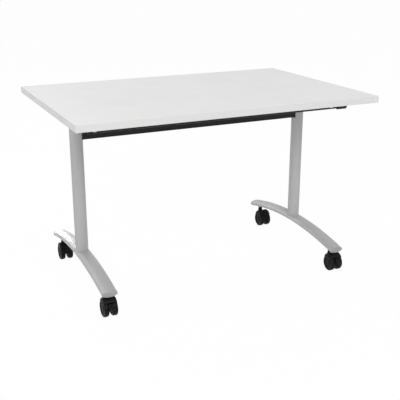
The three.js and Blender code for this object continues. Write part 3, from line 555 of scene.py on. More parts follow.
def make_column():
    bottom = Vector((0, 0, FOOT_TOP - FOOT_HALF_THICK))
    top = Vector((0, 0, COLUMN_TOP))
    column = rod(COLUMN_RADIUS, bottom, top, 72)
    cut(column, rod(COLUMN_RADIUS - COLUMN_WALL, bottom - PAST * Z, top + PAST * Z, 72))
    saddle = spun_oval(FOOT_HALF_WIDTH + SADDLE_GAP, FOOT_HALF_THICK + SADDLE_GAP)
    open_mesh(saddle)
    bpy.ops.mesh.select_mode(type="EDGE")
    bpy.ops.mesh.select_all(action="SELECT")
    bpy.ops.mesh.region_to_loop()
    bpy.ops.mesh.fill_holes(sides=0)
    face_outwards()
    close_mesh()
    return smooth(cut(column, saddle))


def drawn_wire(path, thick, closed, ripple=0.0):
    """A round wire of a given half thickness along a path, with an even ripple if one is wanted."""
    line = bpy.data.curves.new("wire", "CURVE")
    line.dimensions = "3D"
    line.bevel_depth = thick
    line.bevel_resolution = 3
    line.use_fill_caps = not closed
    run = line.splines.new("POLY")
    run.use_cyclic_u = closed
    run.points.add(len(path) - 1)
    for number, (spot, point) in enumerate(zip(path, run.points)):
        point.co = (*spot, 1)
        point.radius = 1 + ripple * math.sin(number * 2 * math.pi / RIPPLE_POINTS)
    wire = bpy.data.objects.new("wire", line)
    bpy.context.scene.collection.objects.link(wire)
    pick(wire)
    bpy.ops.object.convert(target="MESH")
    wire = bpy.context.object
    open_mesh(wire)
    face_outwards()
    close_mesh()
    return smooth(wire, 60)


def weld_bead(path, closed=True):
    """A run of weld under the paint."""
    return drawn_wire(path, BEAD, closed, ripple=BEAD_RIPPLE)


def foot_weld():
    path = []
    for step in range(BEAD_STEPS):
        angle = 2 * math.pi * step / BEAD_STEPS
        x, y = COLUMN_RADIUS * math.cos(angle), COLUMN_RADIUS * math.sin(angle)
        path.append(Vector((x, y, foot_surface(x, y))))
    return weld_bead(path)


def foot_cap():
    """An oval end cap with a domed face, made round the origin and looking along +z."""
    plug_width = FOOT_HALF_WIDTH - FOOT_WALL - CAP_PLAY
    plug_thick = FOOT_HALF_THICK - FOOT_WALL - CAP_PLAY
    bpy.ops.object.select_all(action="DESELECT")
    bpy.ops.mesh.primitive_circle_add(vertices=48, radius=1, fill_type="NGON")
    cap = bpy.context.object
    cap.scale = (plug_width, plug_thick, 1)
    cap.location = (0, 0, -CAP_PLUG)
    set_in_place(cap)
    open_mesh(cap)
    bpy.ops.mesh.select_all(action="SELECT")
    bpy.ops.mesh.extrude_region_move(TRANSFORM_OT_translate={"value": (0, 0, CAP_PLUG + 0.2 * MM)})
    bpy.ops.mesh.extrude_region_move()
    bpy.ops.transform.resize(value=(FOOT_HALF_WIDTH / plug_width, FOOT_HALF_THICK / plug_thick, 1))
    bpy.ops.mesh.extrude_region_move(TRANSFORM_OT_translate={"value": (0, 0, CAP_RIM)})
    for shrink, rise in mm((0.6, 0.75), (1.4, 0.45), (3.0, 0.25)):
        bpy.ops.mesh.inset(thickness=shrink, depth=0)
        bpy.ops.transform.translate(value=(0, 0, rise))
    face_outwards()
    close_mesh()
    return smooth(cap, 50)


def foot_bush():
    """The sleeve in a foot that holds a castor's stem."""
    outside = FOOT_BUSH_RADIUS - 0.05 * MM
    return smooth(turned([
        (FOOT_BUSH_BORE, 0), (10.2 * MM, 0), (outside, 0.8 * MM), (outside, FOOT_BUSH_LENGTH),
        (FOOT_BUSH_BORE, FOOT_BUSH_LENGTH), (FOOT_BUSH_BORE, 0)], Vector((0, 0, FOOT_BUSH_BOTTOM)), Z, 40))


def make_legs():
    column, foot, bead, cap, bush = make_column(), make_foot(), foot_weld(), foot_cap(), foot_bush()
    for side in SIDES:
        shift = LEG_X[side] * X
        settle(copy_of(column, shift), f"column_tube_{side}", "frame", "silver_paint", f"column_{side}")
        settle(copy_of(foot, shift), f"foot_tube_{side}", "frame", "silver_paint", f"foot_{side}")
        settle(copy_of(bead, shift), f"foot_weld_{side}", "frame", "silver_paint")
        for end in ENDS:
            back = 1 if end == "back" else -1
            place = f"{end}_{side}"
            sleeve = copy_of(bush, shift + back * CASTOR_Y * Y)
            settle(sleeve, f"foot_bush_{place}", "frame", "silver_paint")
            turn = (-back * (math.pi / 2 + FOOT_ANGLE), 0, 0)
            one = copy_of(cap, shift + foot_point(back), turn)
            settle(one, f"foot_end_cap_{place}", "frame", "grey_plastic", f"foot_cap_{place}")
    put_away(column, foot, bead, cap, bush)


make_legs()


# Crossbeam
BEAM_ROUND = 3.0 * MM
BEAM_BEAD_STEPS = 40  # along each side of the beam


def make_crossbeam():
    low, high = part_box("crossbeam")
    beam = slab(low, high)
    open_mesh(beam)
    choose_edges(beam, lambda a, b: abs(a.x - b.x) > MM)
    bpy.ops.mesh.bevel(offset=BEAM_ROUND, segments=5, affect="EDGES")
    close_mesh()
    for side in SIDES:
        axis = Vector((LEG_X[side], 0, low.z - PAST))
        cut(beam, rod(COLUMN_RADIUS + SADDLE_GAP, axis, axis + (high.z - low.z + 2 * PAST) * Z, 96))
    settle(smooth(beam), "crossbeam_tube", "frame", "black_paint", "crossbeam")
    for side in SIDES:
        settle(beam_weld(side, low, high), f"beam_weld_{side}", "frame", "black_paint")


def beam_weld(side, low, high):
    """The weld round one end of the beam, where it meets the column."""
    half_depth = (high.y - low.y) / 2
    inward = -1 if LEG_X[side] > 0 else 1
    corners = ((-1, 0), (-1, 1), (1, 1), (1, 0), (-1, 0))
    path = []
    for start, end in zip(corners, corners[1:]):
        for step in range(BEAM_BEAD_STEPS):
            share = step / BEAM_BEAD_STEPS
            y = half_depth * (start[0] + (end[0] - start[0]) * share)
            z = low.z + (high.z - low.z) * (start[1] + (end[1] - start[1]) * share)
            x = LEG_X[side] + inward * math.sqrt(COLUMN_RADIUS ** 2 - y ** 2)
            path.append(Vector((x, y, z)))
    return weld_bead(path)


make_crossbeam()


# Castors, made with the swivel axis through the origin
TRAIL = 25 * MM
WHEEL = 32.5 * MM
WHEEL_INNER, WHEEL_OUTER = 6 * MM, 26 * MM  # faces of a wheel, from the castor's middle
WHEEL_ROUND, WHEEL_FACE_ROUND = 7 * MM, 4 * MM
HOOD = 32 * MM
HOOD_RISE = 10 * MM  # from the axle to the centre of the hood's arch
HOOD_ROUND = 6 * MM
HOOD_LEAD, HOOD_TRAIL = 80, 50  # degrees from the top to the hood's two ends
HOOD_HALF = 25.5 * MM
HOOD_EDGE = 0.6 * MM
WELL = 34.5 * MM
WELL_END = HOOD_HALF + 20 * MM
WEB_HALF = 4.8 * MM
WEB_EDGE = 31.5 * MM
WEB_END, FLARE_START = 88, 20  # degrees from the top
WEB_INSET = 3  # degrees by which the web stops short of its flared rim
AXLE_RADIUS = 4 * MM
AXLE_HALF = 21.7 * MM
AXLE_BOSS = 8.5 * MM
BOSS_TOP = 75.3 * MM
STEM_RADIUS = 4 * MM
STEM_BORE = 4.3 * MM
STEM_DEPTH = 20 * MM
NECK_RADIUS, NECK_LENGTH = 9 * MM, 9.2 * MM
SPIGOT_RADIUS, SPIGOT_LENGTH = 5 * MM, 19 * MM  # the stem's upper end, in the foot
EAR_RADIUS, EAR_HALF = 4 * MM, 4.6 * MM
PEDAL_ANGLE, PEDAL_REACH = 53, 37.5 * MM  # place of the pedal's pin round the axle
PEDAL_SLOPE = 40  # degrees
PEDAL_RIBS, FIRST_RIB, RIB_PITCH = 4, 7.5, 3.4  # along the pedal, in millimetres
PEDAL_HALF = 11 * MM
PEDAL_PIN = 2 * MM
CHEEK_INNER, CHEEK_OUTER = 5.1 * MM, 10.1 * MM
AXLE = Vector((0, -TRAIL, WHEEL))
ARCH = AXLE + HOOD_RISE * Z


def around(centre, degrees, radius):
    """A (y, z) point round a line along x, in degrees from the top towards the trailing side."""
    angle = math.radians(degrees)
    return (centre.y - radius * math.sin(angle), centre.z + radius * math.cos(angle))


def arc(centre, start, end, radius, steps):
    """Points of around, in even steps from one angle to another."""
    return [around(centre, start + (end - start) * step / steps, radius) for step in range(steps + 1)]


PEDAL_PIVOT = Vector((0, *around(AXLE, PEDAL_ANGLE, PEDAL_REACH)))


def quarter(radius, face, rounding, steps=6):
    """A rounded shoulder: (radius, place) pairs from a flat face to the rim."""
    pairs = []
    for step in range(steps + 1):
        angle = math.pi / 2 * step / steps
        inset = abs(rounding) * (1 - math.sin(angle))
        pairs.append((radius - inset, face + rounding * (1 - math.cos(angle))))
    return pairs


def bar_across(radius, middle, half, vertices):
    """A round bar along x, centred on a point."""
    return rod(radius, middle - half * X, middle + half * X, vertices)


def cut_wells(piece):
    for side in (-1, 1):
        cut(piece, rod(WELL, AXLE + side * WEB_HALF * X, AXLE + side * WELL_END * X, 96))


def web_flare():
    """The web's trailing rim, which widens outwards between the wheels' rounded shoulders."""
    rim = [*mm((20, 4.4), (25.5, 4.4), (28, 5.3), (30, 6.5)), (WEB_EDGE, 8.2 * MM)]
    ring = turned([*rim, *((radius, -x) for radius, x in reversed(rim)), rim[0]], AXLE, X, 96)
    wedge = [(AXLE.y, AXLE.z), *arc(AXLE, WEB_END, FLARE_START, 2 * WEB_EDGE, 12)]
    return trim(ring, plate(wedge, -HOOD_HALF, HOOD_HALF))


def make_hood(braked):
    hood = plate([
        *arc(ARCH, HOOD_TRAIL, -HOOD_LEAD, HOOD + HOOD_ROUND, 24), around(ARCH, -HOOD_LEAD, HOOD),
        *arc(AXLE, -90, -270, AXLE_BOSS, 16),
        *arc(AXLE, WEB_END - WEB_INSET, HOOD_TRAIL, WEB_EDGE - MM, 14),
        around(ARCH, HOOD_TRAIL, HOOD)], -HOOD_HALF - MM, HOOD_HALF + MM)
    shell = turned([(0, -HOOD_HALF), *quarter(HOOD, -HOOD_HALF, HOOD_ROUND),
                    *reversed(quarter(HOOD, HOOD_HALF, -HOOD_ROUND)), (0, HOOD_HALF)], ARCH, X, 96)
    fuse(shell, bar_across(WEB_EDGE, AXLE, WEB_HALF, 96))
    trim(hood, shell)
    fuse(hood, turned([
        *mm((0, 33), (11, 33), (12, 34), (12, 58), (9.6, 68)),
        (9.3 * MM, BOSS_TOP - 0.7 * MM), (8.6 * MM, BOSS_TOP), (0, BOSS_TOP)], Vector(), Z, 48))
    cut_wells(hood)
    fuse(hood, web_flare())
    if braked:
        ear = [*arc(PEDAL_PIVOT, -180, -360, EAR_RADIUS, 12), around(AXLE, 44, WELL),
               (AXLE.y - 6 * MM, AXLE.z + 4 * MM)]
        fuse(hood, plate(ear, -EAR_HALF, EAR_HALF))
        cut(hood, bar_across(PEDAL_PIN + 0.2 * MM, PEDAL_PIVOT, 8 * MM, 24))
    cut(hood, rod(STEM_BORE, (BOSS_TOP - STEM_DEPTH) * Z, (BOSS_TOP + MM) * Z, 40))
    cut(hood, bar_across(AXLE_RADIUS + 0.1 * MM, AXLE, HOOD_HALF, 32))
    clean(hood)
    soften(hood, HOOD_EDGE, segments=2, angle=40)
    return smooth(clean(hood), 40)


def make_wheel():
    """One wheel, its inner face towards the web, along +x from there."""
    profile = mm((0, 22), (4.3, 22), (4.3, 6), (9, 6), (10, 8), (22, 8), (23.4, 6.2))
    profile += quarter(WHEEL, WHEEL_INNER, WHEEL_ROUND)
    profile += reversed(quarter(WHEEL, WHEEL_OUTER, -WHEEL_FACE_ROUND))
    profile += mm((24, 26), (23.2, 25.4), (22.4, 23.4), (13, 22.8), (11.6, 23.4), (11, 25.4), (10, 26),
                  (5, 26), (4.6, 25.4), (0, 25.3))
    return smooth(soften(turned(profile, AXLE, X, 72), 0.35 * MM, segments=2, angle=30), 40)


def make_stem():
    bottom, neck = BOSS_TOP - STEM_DEPTH + GAP, BOSS_TOP + GAP
    top = FOOT_BUSH_BOTTOM + SPIGOT_LENGTH
    return smooth(soften(turned([
        (0, bottom), (STEM_RADIUS, bottom), (STEM_RADIUS, neck), (NECK_RADIUS, neck),
        (NECK_RADIUS, neck + NECK_LENGTH), (SPIGOT_RADIUS, neck + NECK_LENGTH), (SPIGOT_RADIUS, top),
        (0, top)], Vector(), Z, 40), 0.7 * MM, segments=3), 40)


def make_axle():
    return smooth(soften(bar_across(AXLE_RADIUS, AXLE, AXLE_HALF, 32), 0.5 * MM))


def make_pedal():
    slope = math.radians(PEDAL_SLOPE)
    along = Vector((0, -math.cos(slope), -math.sin(slope)))
    up = Vector((0, -math.sin(slope), math.cos(slope)))

    def at(length, height):
        spot = PEDAL_PIVOT + length * MM * along + height * MM * up
        return (spot.y, spot.z)

    tread = [at(5.6, 2.0), at(6.5, 2.3)]
    for rib in range(PEDAL_RIBS):
        start = FIRST_RIB + RIB_PITCH * rib
        tread += [at(start, 2.3), at(start + 0.5, 3.0), at(start + 1.7, 3.0), at(start + 2.2, 2.3)]
    tread += [at(21.6, 1.8), at(22, 0.6), at(22, -1.2), at(21.2, -2.0), at(5.6, -2.0)]
    pedal = plate(tread, -PEDAL_HALF, PEDAL_HALF)
    soften(pedal, 0.5 * MM, segments=2, angle=40)
    turns = [math.radians(turn) for turn in range(-75, 76, 15)]
    eye = [(-4 * math.cos(turn), 4 * math.sin(turn)) for turn in turns]
    cheek = [at(*spot) for spot in (*eye, (7, 1.6), (7, -1.6))]
    for inner, outer in ((-CHEEK_OUTER, -CHEEK_INNER), (CHEEK_INNER, CHEEK_OUTER)):
        fuse(pedal, plate(cheek, inner, outer))
    fuse(pedal, bar_across(PEDAL_PIN, PEDAL_PIVOT, CHEEK_OUTER + GAP, 24))
    return smooth(clean(pedal), 40)


def make_castors():
    hoods = {"front": make_hood(True), "back": make_hood(False)}
    wheel, stem, axle, pedal = make_wheel(), make_stem(), make_axle(), make_pedal()
    wheels = {"right": wheel, "left": copy_of(wheel, 2 * AXLE.y * Y, (0, 0, math.pi))}
    for end in ENDS:
        for side in SIDES:
            place = f"{end}_{side}"
            shift = LEG_X[side] * X + (CASTOR_Y if end == "back" else -CASTOR_Y) * Y
            castor = f"castor_{place}"
            settle(copy_of(hoods[end], shift), f"hood_{place}", castor, "nylon", f"castor_hood_{place}")
            settle(copy_of(stem, shift), f"stem_{place}", "frame", "black_paint", f"castor_stem_{place}")
            settle(copy_of(axle, shift), f"axle_{place}", castor, "zinc_steel", f"castor_axle_{place}")
            for half, pattern in wheels.items():
                name = f"wheel_{place}_{half}"
                settle(copy_of(pattern, shift), name, name, "nylon", f"castor_{name}")
            if end == "front":
                name = f"pedal_{place}"
                settle(copy_of(pedal, shift), name, name, "nylon", f"brake_{name}")
    put_away(*hoods.values(), *wheels.values(), stem, axle, pedal)


make_castors()


# Release bar, with its grip at the right end and its cap at the left one
BAR = Vector((0, -240 * MM, 670.5 * MM))
BAR_RADIUS = 6 * MM
SLEEVE_BORE = BAR_RADIUS + GAP
GRIP_RADIUS, GRIP_GROOVE = 10 * MM, 9.2 * MM
GRIP_ROUND = 5 * MM
GRIP_WALL = 5 * MM
GROOVES, FIRST_GROOVE, GROOVE_PITCH = 7, 6 * MM, 4.4 * MM
BAR_CAP_RADIUS, BAR_CAP_ROUND = 7.5 * MM, 2.5 * MM


def make_release_bar():
    bar_start, bar_end = (corner.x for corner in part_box("release_bar"))
    bar = rod(BAR_RADIUS, BAR + bar_start * X, BAR + bar_end * X, 40)
    settle(smooth(soften(bar, 0.8 * MM)), "release_rod", "release", "black_paint", "release_bar")

    start, end = (corner.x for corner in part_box("release_grip"))
    sleeve = [(0, end - GRIP_WALL), (SLEEVE_BORE, end - GRIP_WALL), (SLEEVE_BORE, start), (8.2 * MM, start),
              (9.5 * MM, start + 0.8 * MM), (GRIP_RADIUS, start + 2.2 * MM)]
    for number in range(GROOVES):
        groove = start + FIRST_GROOVE + GROOVE_PITCH * number
        sleeve += [(GRIP_RADIUS, groove), (GRIP_GROOVE, groove + 0.5 * MM),
                   (GRIP_GROOVE, groove + 1.6 * MM), (GRIP_RADIUS, groove + 2.1 * MM)]
    sleeve += [*reversed(quarter(GRIP_RADIUS, end, -GRIP_ROUND)), (0, end)]
    grip = soften(turned(sleeve, BAR, X, 48), 0.25 * MM, segments=2)
    settle(smooth(grip), "grip_sleeve", "release", "rubber", "release_grip")

    end, start = (corner.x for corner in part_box("release_bar_cap"))
    cap = turned([
        (0, bar_start - GAP), (SLEEVE_BORE, bar_start - GAP), (SLEEVE_BORE, start), (7.2 * MM, start),
        (BAR_CAP_RADIUS, start - 0.4 * MM), *reversed(quarter(BAR_CAP_RADIUS, end, BAR_CAP_ROUND)),
        (0, end)], BAR, X, 40)
    settle(smooth(cap), "bar_end_cap", "release", "nylon", "release_bar_cap")


make_release_bar()


# Pivots and latches, made with the leg's axis through the origin
UNDERSIDE = 710 * MM
WEB_UNDERSIDE = 706.7 * MM
BRACKET_HALF = 35 * MM
BRACKET_SHEET = 3 * MM
BRACKET_REACH = 215 * MM
FOLD_OUTER, FOLD_INNER = 5 * MM, 2 * MM
FLANGE_END = 684 * MM
LUG_RADIUS, LUG_HALF = 14 * MM, 22 * MM
PIVOT = Vector((0, 0, 664 * MM))
PIVOT_PIN = 6 * MM
BUSH_HOLE = 8.6 * MM
BARREL = 22 * MM
BARREL_HALF = 29.9 * MM
HEAD_COLLAR = 5 * MM
HEAD_PLUG, PLUG_DEPTH = 22.7 * MM, 40 * MM
HEAD_NECK = Vector((20 * MM, 15 * MM, 0))
HEAD_NECK_ROUND = 5 * MM
HORN_INNER, HORN_OUTER = 9 * MM, 19 * MM
HORN_THICK = 11 * MM
HORN_START, HORN_TIP = -55 * MM, -69 * MM
NOTCH_WIDE, NOTCH_HIGH, NOTCH_FLOOR = 7 * MM, 5 * MM, 16 * MM
LATCH_PIN = 4 * MM
PAWL_PIN = Vector((0, -62 * MM, 692 * MM))
PAWL_HALF = 5 * MM
PAWL_BOSS = 9 * MM
PAWL_EDGE = 0.6 * MM
NOSE_GAP, NOSE_HALF = 0.6 * MM, 3.5 * MM
ARM_TOP = 681.5 * MM
SPRING_Y = -188 * MM
SPRING_RADIUS, SPRING_WIRE, SPRING_CURLS = 5 * MM, 1.6 * MM, 7
CURL_STEPS = 24
SCREW_PLACES = mm((-20, -203), (20, -203), (-20, 30), (20, 30), (-20, 203), (20, 203))
SLOT_LONG, SLOT_WIDE = 2.6 * MM, 0.5 * MM


def make_head():
    """A plug and collar on the column, a barrel with two notches, and the two horns of the rest stop."""
    collar = COLUMN_TOP + GAP
    head = rod(COLUMN_RADIUS, collar * Z, (collar + HEAD_COLLAR) * Z, 64)
    soften(head, 0.8 * MM)
    fuse(head, rod(HEAD_PLUG, (collar - PLUG_DEPTH) * Z, (collar + MM) * Z, 64))
    neck = slab((collar + MM) * Z - HEAD_NECK, PIVOT + HEAD_NECK)
    open_mesh(neck)
    choose_edges(neck, lambda a, b: abs(a.z - b.z) > MM)
    bpy.ops.mesh.bevel(offset=HEAD_NECK_ROUND, segments=5, affect="EDGES")
    close_mesh()
    fuse(head, neck)
    fuse(head, bar_across(BARREL, PIVOT, BARREL_HALF, 72))
    horn_top = PAWL_PIN.z - LATCH_PIN - GAP
    horn = [(0, PIVOT.z - HORN_THICK), (0, PIVOT.z + HORN_THICK), (HORN_START, horn_top),
            (HORN_TIP, horn_top), (HORN_TIP, horn_top - HORN_THICK)]
    for inner, outer in ((-HORN_OUTER, -HORN_INNER), (HORN_INNER, HORN_OUTER)):
        fuse(head, plate(horn, inner, outer))
    mouth = BARREL + MM
    for low, high in (
            ((-NOTCH_WIDE, -mouth, -NOTCH_HIGH), (NOTCH_WIDE, -NOTCH_FLOOR, NOTCH_HIGH)),
            ((-NOTCH_WIDE, -NOTCH_HIGH, NOTCH_FLOOR), (NOTCH_WIDE, NOTCH_HIGH, mouth))):
        cut(head, slab(PIVOT + Vector(low), PIVOT + Vector(high)))
    cut(head, bar_across(PIVOT_PIN + GAP, PIVOT, BARREL_HALF + MM, 40))
    return smooth(soften(head, 0.7 * MM, segments=2, angle=40), 40)


def make_bracket():
    """A folded channel, open downwards, with rounded folds, a lug on each side and its holes."""
    inner = BRACKET_HALF - BRACKET_SHEET
    channel = slab(Vector((-BRACKET_HALF, -BRACKET_REACH, FLANGE_END)),
                   Vector((BRACKET_HALF, BRACKET_REACH, UNDERSIDE - GAP)))
    hollow = slab(Vector((-inner, -BRACKET_REACH - MM, FLANGE_END - MM)),
                  Vector((inner, BRACKET_REACH + MM, WEB_UNDERSIDE)))
    for piece, fold in ((channel, FOLD_OUTER), (hollow, FOLD_INNER)):
        open_mesh(piece)
        top = max(corner.co.z for corner in piece.data.vertices)
        choose_edges(piece, lambda a, b: abs(a.y - b.y) > MM and min(a.z, b.z) > top - MM / 10)
        bpy.ops.mesh.bevel(offset=fold, segments=6, affect="EDGES")
        close_mesh()
    cut(channel, hollow)
    root = FLANGE_END + BRACKET_SHEET
    lug = [(-LUG_HALF, root), (-LUG_HALF, FLANGE_END), *arc(PIVOT, 90, 270, LUG_RADIUS, 24),
           (LUG_HALF, FLANGE_END), (LUG_HALF, root)]
    for low, high in ((-BRACKET_HALF, -inner), (inner, BRACKET_HALF)):
        fuse(channel, plate(lug, low, high))
    cut(channel, bar_across(BUSH_HOLE, PIVOT, BRACKET_HALF + MM, 40))
    cut(channel, bar_across(LATCH_PIN + GAP, PAWL_PIN, BRACKET_HALF + MM, 32))
    return smooth(soften(channel, 0.5 * MM, segments=2, angle=50), 40)


def make_screw():
    """A pan head with a cross slot, looking down from the bracket's web."""
    head = turned(mm((0, 0), (5, 0), (5, -0.8), (4.5, -1.7), (3.2, -2.3), (1.5, -2.55), (0, -2.6)),
                  Vector((0, 0, WEB_UNDERSIDE)), Z, 32)
    bottom = WEB_UNDERSIDE - 3 * MM
    for long, wide, deep in ((SLOT_LONG, SLOT_WIDE, 1.6 * MM), (SLOT_WIDE, SLOT_LONG, 1.5 * MM)):
        cut(head, slab(Vector((-long, -wide, bottom)), Vector((long, wide, bottom + deep))))
    return smooth(clean(head), 40)


def riveted_pin(centre, radius, head, thick):
    """A pin along x with a domed head at each end."""
    grip = BRACKET_HALF + GAP
    half = [(0, grip + thick), (0.5 * head, grip + thick), (0.82 * head, grip + 0.82 * thick),
            (0.96 * head, grip + 0.55 * thick), (head, grip + 0.3 * thick), (head, grip), (radius, grip)]
    profile = [*half, *((distance, -x) for distance, x in reversed(half))]
    return smooth(soften(turned(profile, centre, X, 40), 0.2 * MM), 40)


def make_bush():
    return smooth(turned(
        mm((6.3, 30.2), (11.6, 30.2), (12, 30.6), (12, 31.7), (8.3, 31.7), (8.3, 34.6), (8, 35), (6.6, 35),
           (6.3, 34.7), (6.3, 30.2)), PIVOT, X, 48))


def make_pawl():
    arm_end, arm_root = BAR.y - 10 * MM, PAWL_PIN.y - 2 * PAWL_BOSS
    nose = PIVOT.y - BARREL - NOSE_GAP
    pawl = plate([
        (arm_end, BAR.z + 2 * MM), (arm_end + 2 * MM, BAR.z), (arm_root, BAR.z),
        (PAWL_PIN.y, PAWL_PIN.z - PAWL_BOSS), (nose - 12 * MM, PIVOT.z - NOSE_HALF),
        (nose, PIVOT.z - NOSE_HALF), (nose, PIVOT.z + NOSE_HALF), *arc(PAWL_PIN, -90, 90, PAWL_BOSS, 24),
        (arm_root, ARM_TOP), (arm_end + 3 * MM, ARM_TOP), (arm_end, ARM_TOP - 3 * MM)],
        -PAWL_HALF, PAWL_HALF)
    cut(pawl, bar_across(LATCH_PIN + GAP, PAWL_PIN, PAWL_HALF + MM, 32))
    cut(pawl, bar_across(BAR_RADIUS + 0.1 * MM, BAR, PAWL_HALF + MM, 40))
    return smooth(soften(clean(pawl), PAWL_EDGE, segments=2, angle=35), 40)


def pawl_weld(place):
    path = [Vector((place, *spot)) for spot in arc(BAR, -85, 85, BAR_RADIUS, 60)]
    return weld_bead(path, closed=False)


def make_spring():
    """A coil with a dead curl at each end."""
    bottom = ARM_TOP + GAP + SPRING_WIRE / 2
    top = WEB_UNDERSIDE - GAP - SPRING_WIRE / 2
    rise = (top - bottom - 2 * SPRING_WIRE) / (SPRING_CURLS - 2)
    path = []
    for step in range(SPRING_CURLS * CURL_STEPS + 1):
        curl = step / CURL_STEPS
        if curl < 1:
            z = bottom + SPRING_WIRE * curl
        elif curl > SPRING_CURLS - 1:
            z = top - SPRING_WIRE * (SPRING_CURLS - curl)
        else:
            z = bottom + SPRING_WIRE + rise * (curl - 1)
        turn = 2 * math.pi * curl
        path.append(Vector((SPRING_RADIUS * math.cos(turn), SPRING_Y + SPRING_RADIUS * math.sin(turn), z)))
    return drawn_wire(path, SPRING_WIRE / 2, closed=False)


def make_buffer():
    low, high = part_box("flip_buffer_left")
    upper = [(radius, high.z - depth) for radius, depth in
             mm((0, 0), (9.6, 0), (10, 0.4), (10, 4), (9.3, 5), (9.3, 6), (9.9, 7))]
    lower = [(radius, low.z + height) for radius, height in mm((3.6, 0), (3.2, 0.5), (3.2, 6), (0, 6))]
    profile = [*upper, *reversed(quarter(9.9 * MM, low.z, 4 * MM)), *lower]
    return smooth(turned(profile, (low.y + high.y) / 2 * Y, Z, 48), 40)


def make_pivots():
    head, bracket, screw, bush = make_head(), make_bracket(), make_screw(), make_bush()
    pivot_pin = riveted_pin(PIVOT, PIVOT_PIN, head=9 * MM, thick=4 * MM)
    pawl_pin = riveted_pin(PAWL_PIN, LATCH_PIN, head=6 * MM, thick=2 * MM)
    pawl, spring, buffer = make_pawl(), make_spring(), make_buffer()
    beads = [pawl_weld(-PAWL_HALF), pawl_weld(PAWL_HALF)]
    turned_bush = copy_of(bush, Vector(), (0, 0, math.pi))
    for side in SIDES:
        shift = LEG_X[side] * X
        settle(copy_of(head, shift), f"head_{side}", "frame", "black_paint", f"pivot_head_{side}")
        settle(copy_of(pivot_pin, shift), f"pivot_rivet_{side}", "frame", "zinc_steel", f"pivot_pin_{side}")
        settle(copy_of(bracket, shift), f"bracket_{side}", "top", "black_paint", f"top_bracket_{side}")
        outer, inner = (turned_bush, bush) if side == "left" else (bush, turned_bush)
        for place, pattern in (("outer", outer), ("inner", inner)):
            name = f"bush_{place}_{side}"
            settle(copy_of(pattern, shift), name, "top", "grey_plastic", f"pivot_{name}")
        settle(copy_of(pawl_pin, shift), f"pawl_rivet_{side}", "top", "zinc_steel", f"pawl_pin_{side}")
        settle(copy_of(buffer, shift), f"buffer_{side}", "top", "rubber", f"flip_buffer_{side}")
        for number, (x, y) in enumerate(SCREW_PLACES, 1):
            one = copy_of(screw, shift + Vector((x, y, 0)))
            settle(one, f"bracket_screw_{number}_{side}", "top", "zinc_steel")
        settle(copy_of(pawl, shift), f"latch_pawl_{side}", "release", "zinc_steel", f"pawl_{side}")
        for bead, place in zip(beads, SIDES):
            settle(copy_of(bead, shift), f"pawl_weld_{place}_{side}", "release", "zinc_steel")
        coil = copy_of(spring, shift)
        settle(coil, f"latch_spring_{side}", "top", "zinc_steel", f"pawl_spring_{side}")
        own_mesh(coil)
    put_away(head, bracket, screw, bush, turned_bush, pivot_pin, pawl_pin, pawl, spring, buffer, *beads)


make_pivots()


# Floor, light and camera
FLOOR_SIZE = 90
FLOOR_DROP = 0.2 * MM
FLOOR_TONE = 0.86
FLOOR_SEEN = 0.97  # share of plain white in the floor, where it is seen
AMBIENT = 0.6
FOCAL_LENGTH, SENSOR = 66.33, 36
FAR_CLIP = 200
CAMERA_PLACE = Vector((-1.2195, -2.6513, 1.2605))
CAMERA_TARGET = Vector((-0.0683, -0.2027, 0.3494))


def seen_share(tree, share):
    """The share for rays that show the background: straight, mirrored or through glass."""
    path = tree.nodes.new("ShaderNodeLightPath")
    total = path.outputs["Is Camera Ray"]
    for label in ("Is Glossy Ray", "Is Transmission Ray"):
        node = tree.nodes.new("ShaderNodeMath")
        node.operation = "MAXIMUM"
        tree.links.new(total, node.inputs[0])
        tree.links.new(path.outputs[label], node.inputs[1])
        total = node.outputs[0]
    return times(tree, total, share)


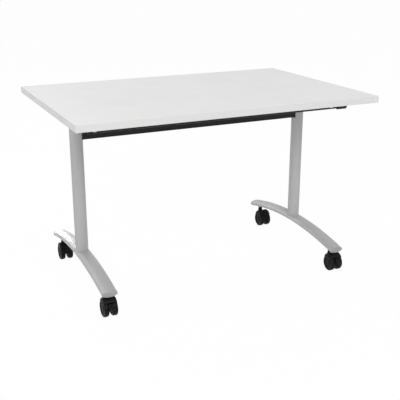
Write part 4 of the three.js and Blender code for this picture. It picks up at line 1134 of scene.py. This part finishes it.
def make_floor():
    bpy.ops.object.select_all(action="DESELECT")
    bpy.ops.mesh.primitive_plane_add(size=FLOOR_SIZE, location=(0, 0, -FLOOR_DROP))
    floor = bpy.context.object
    floor.name = "floor"
    material = bpy.data.materials.new("floor_white")
    material.use_nodes = True
    tree = material.node_tree
    tree.nodes.remove(tree.nodes["Principled BSDF"])
    lit = tree.nodes.new("ShaderNodeBsdfDiffuse")
    lit.inputs["Color"].default_value = (FLOOR_TONE, FLOOR_TONE, FLOOR_TONE, 1)
    plain = tree.nodes.new("ShaderNodeEmission")
    mix = tree.nodes.new("ShaderNodeMixShader")
    tree.links.new(seen_share(tree, FLOOR_SEEN), mix.inputs["Fac"])
    tree.links.new(lit.outputs[0], mix.inputs[1])
    tree.links.new(plain.outputs[0], mix.inputs[2])
    tree.links.new(mix.outputs[0], tree.nodes["Material Output"].inputs["Surface"])
    floor.data.materials.append(material)


def make_surroundings():
    world = bpy.data.worlds.new("studio")
    bpy.context.scene.world = world
    world.use_nodes = True
    tree = world.node_tree
    ambient = tree.nodes["Background"]
    ambient.inputs["Color"].default_value = (1, 1, 1, 1)
    ambient.inputs["Strength"].default_value = AMBIENT
    white = tree.nodes.new("ShaderNodeBackground")
    white.inputs["Color"].default_value = (1, 1, 1, 1)
    mix = tree.nodes.new("ShaderNodeMixShader")
    tree.links.new(seen_share(tree, 1.0), mix.inputs["Fac"])
    tree.links.new(ambient.outputs[0], mix.inputs[1])
    tree.links.new(white.outputs[0], mix.inputs[2])
    tree.links.new(mix.outputs[0], tree.nodes["World Output"].inputs["Surface"])


def look_from(name, data, place, target):
    """Sets a lamp or a camera up at a place, turned towards a target."""
    holder = bpy.data.objects.new(name, data)
    holder.location = place
    holder.rotation_euler = (Vector(target) - Vector(place)).to_track_quat("-Z", "Y").to_euler()
    bpy.context.scene.collection.objects.link(holder)
    return holder


def make_lamp(name, place, target, size, power, cone=180):
    lamp = bpy.data.lights.new(name, "AREA")
    lamp.shape = "DISK"
    lamp.spread = math.radians(cone)
    lamp.size = size
    lamp.energy = power
    look_from(name, lamp, place, target)


def make_camera():
    lens = bpy.data.cameras.new("camera")
    lens.lens = FOCAL_LENGTH
    lens.sensor_width = SENSOR
    lens.clip_end = FAR_CLIP
    bpy.context.scene.camera = look_from("camera", lens, CAMERA_PLACE, CAMERA_TARGET)


make_floor()
make_surroundings()
make_lamp("key", place=(-0.7, 3.0, 3.4), target=(-0.1, 0.1, 0.5), size=3.0, power=46)
make_lamp("fill", place=(0.2, -3.7, 3.0), target=(0, 0, 0.4), size=2.8, power=82)
make_lamp("rear", place=(-0.3, 2.6, 0.5), target=(-0.49, 0.2, 0.12), size=0.5, power=1.5, cone=50)
make_lamp("side", place=(-3.4, -1.4, 1.5), target=(-0.4, 0, 0.4), size=2.0, power=20)
make_camera()
bpy.context.scene.view_settings.view_transform = "Standard"
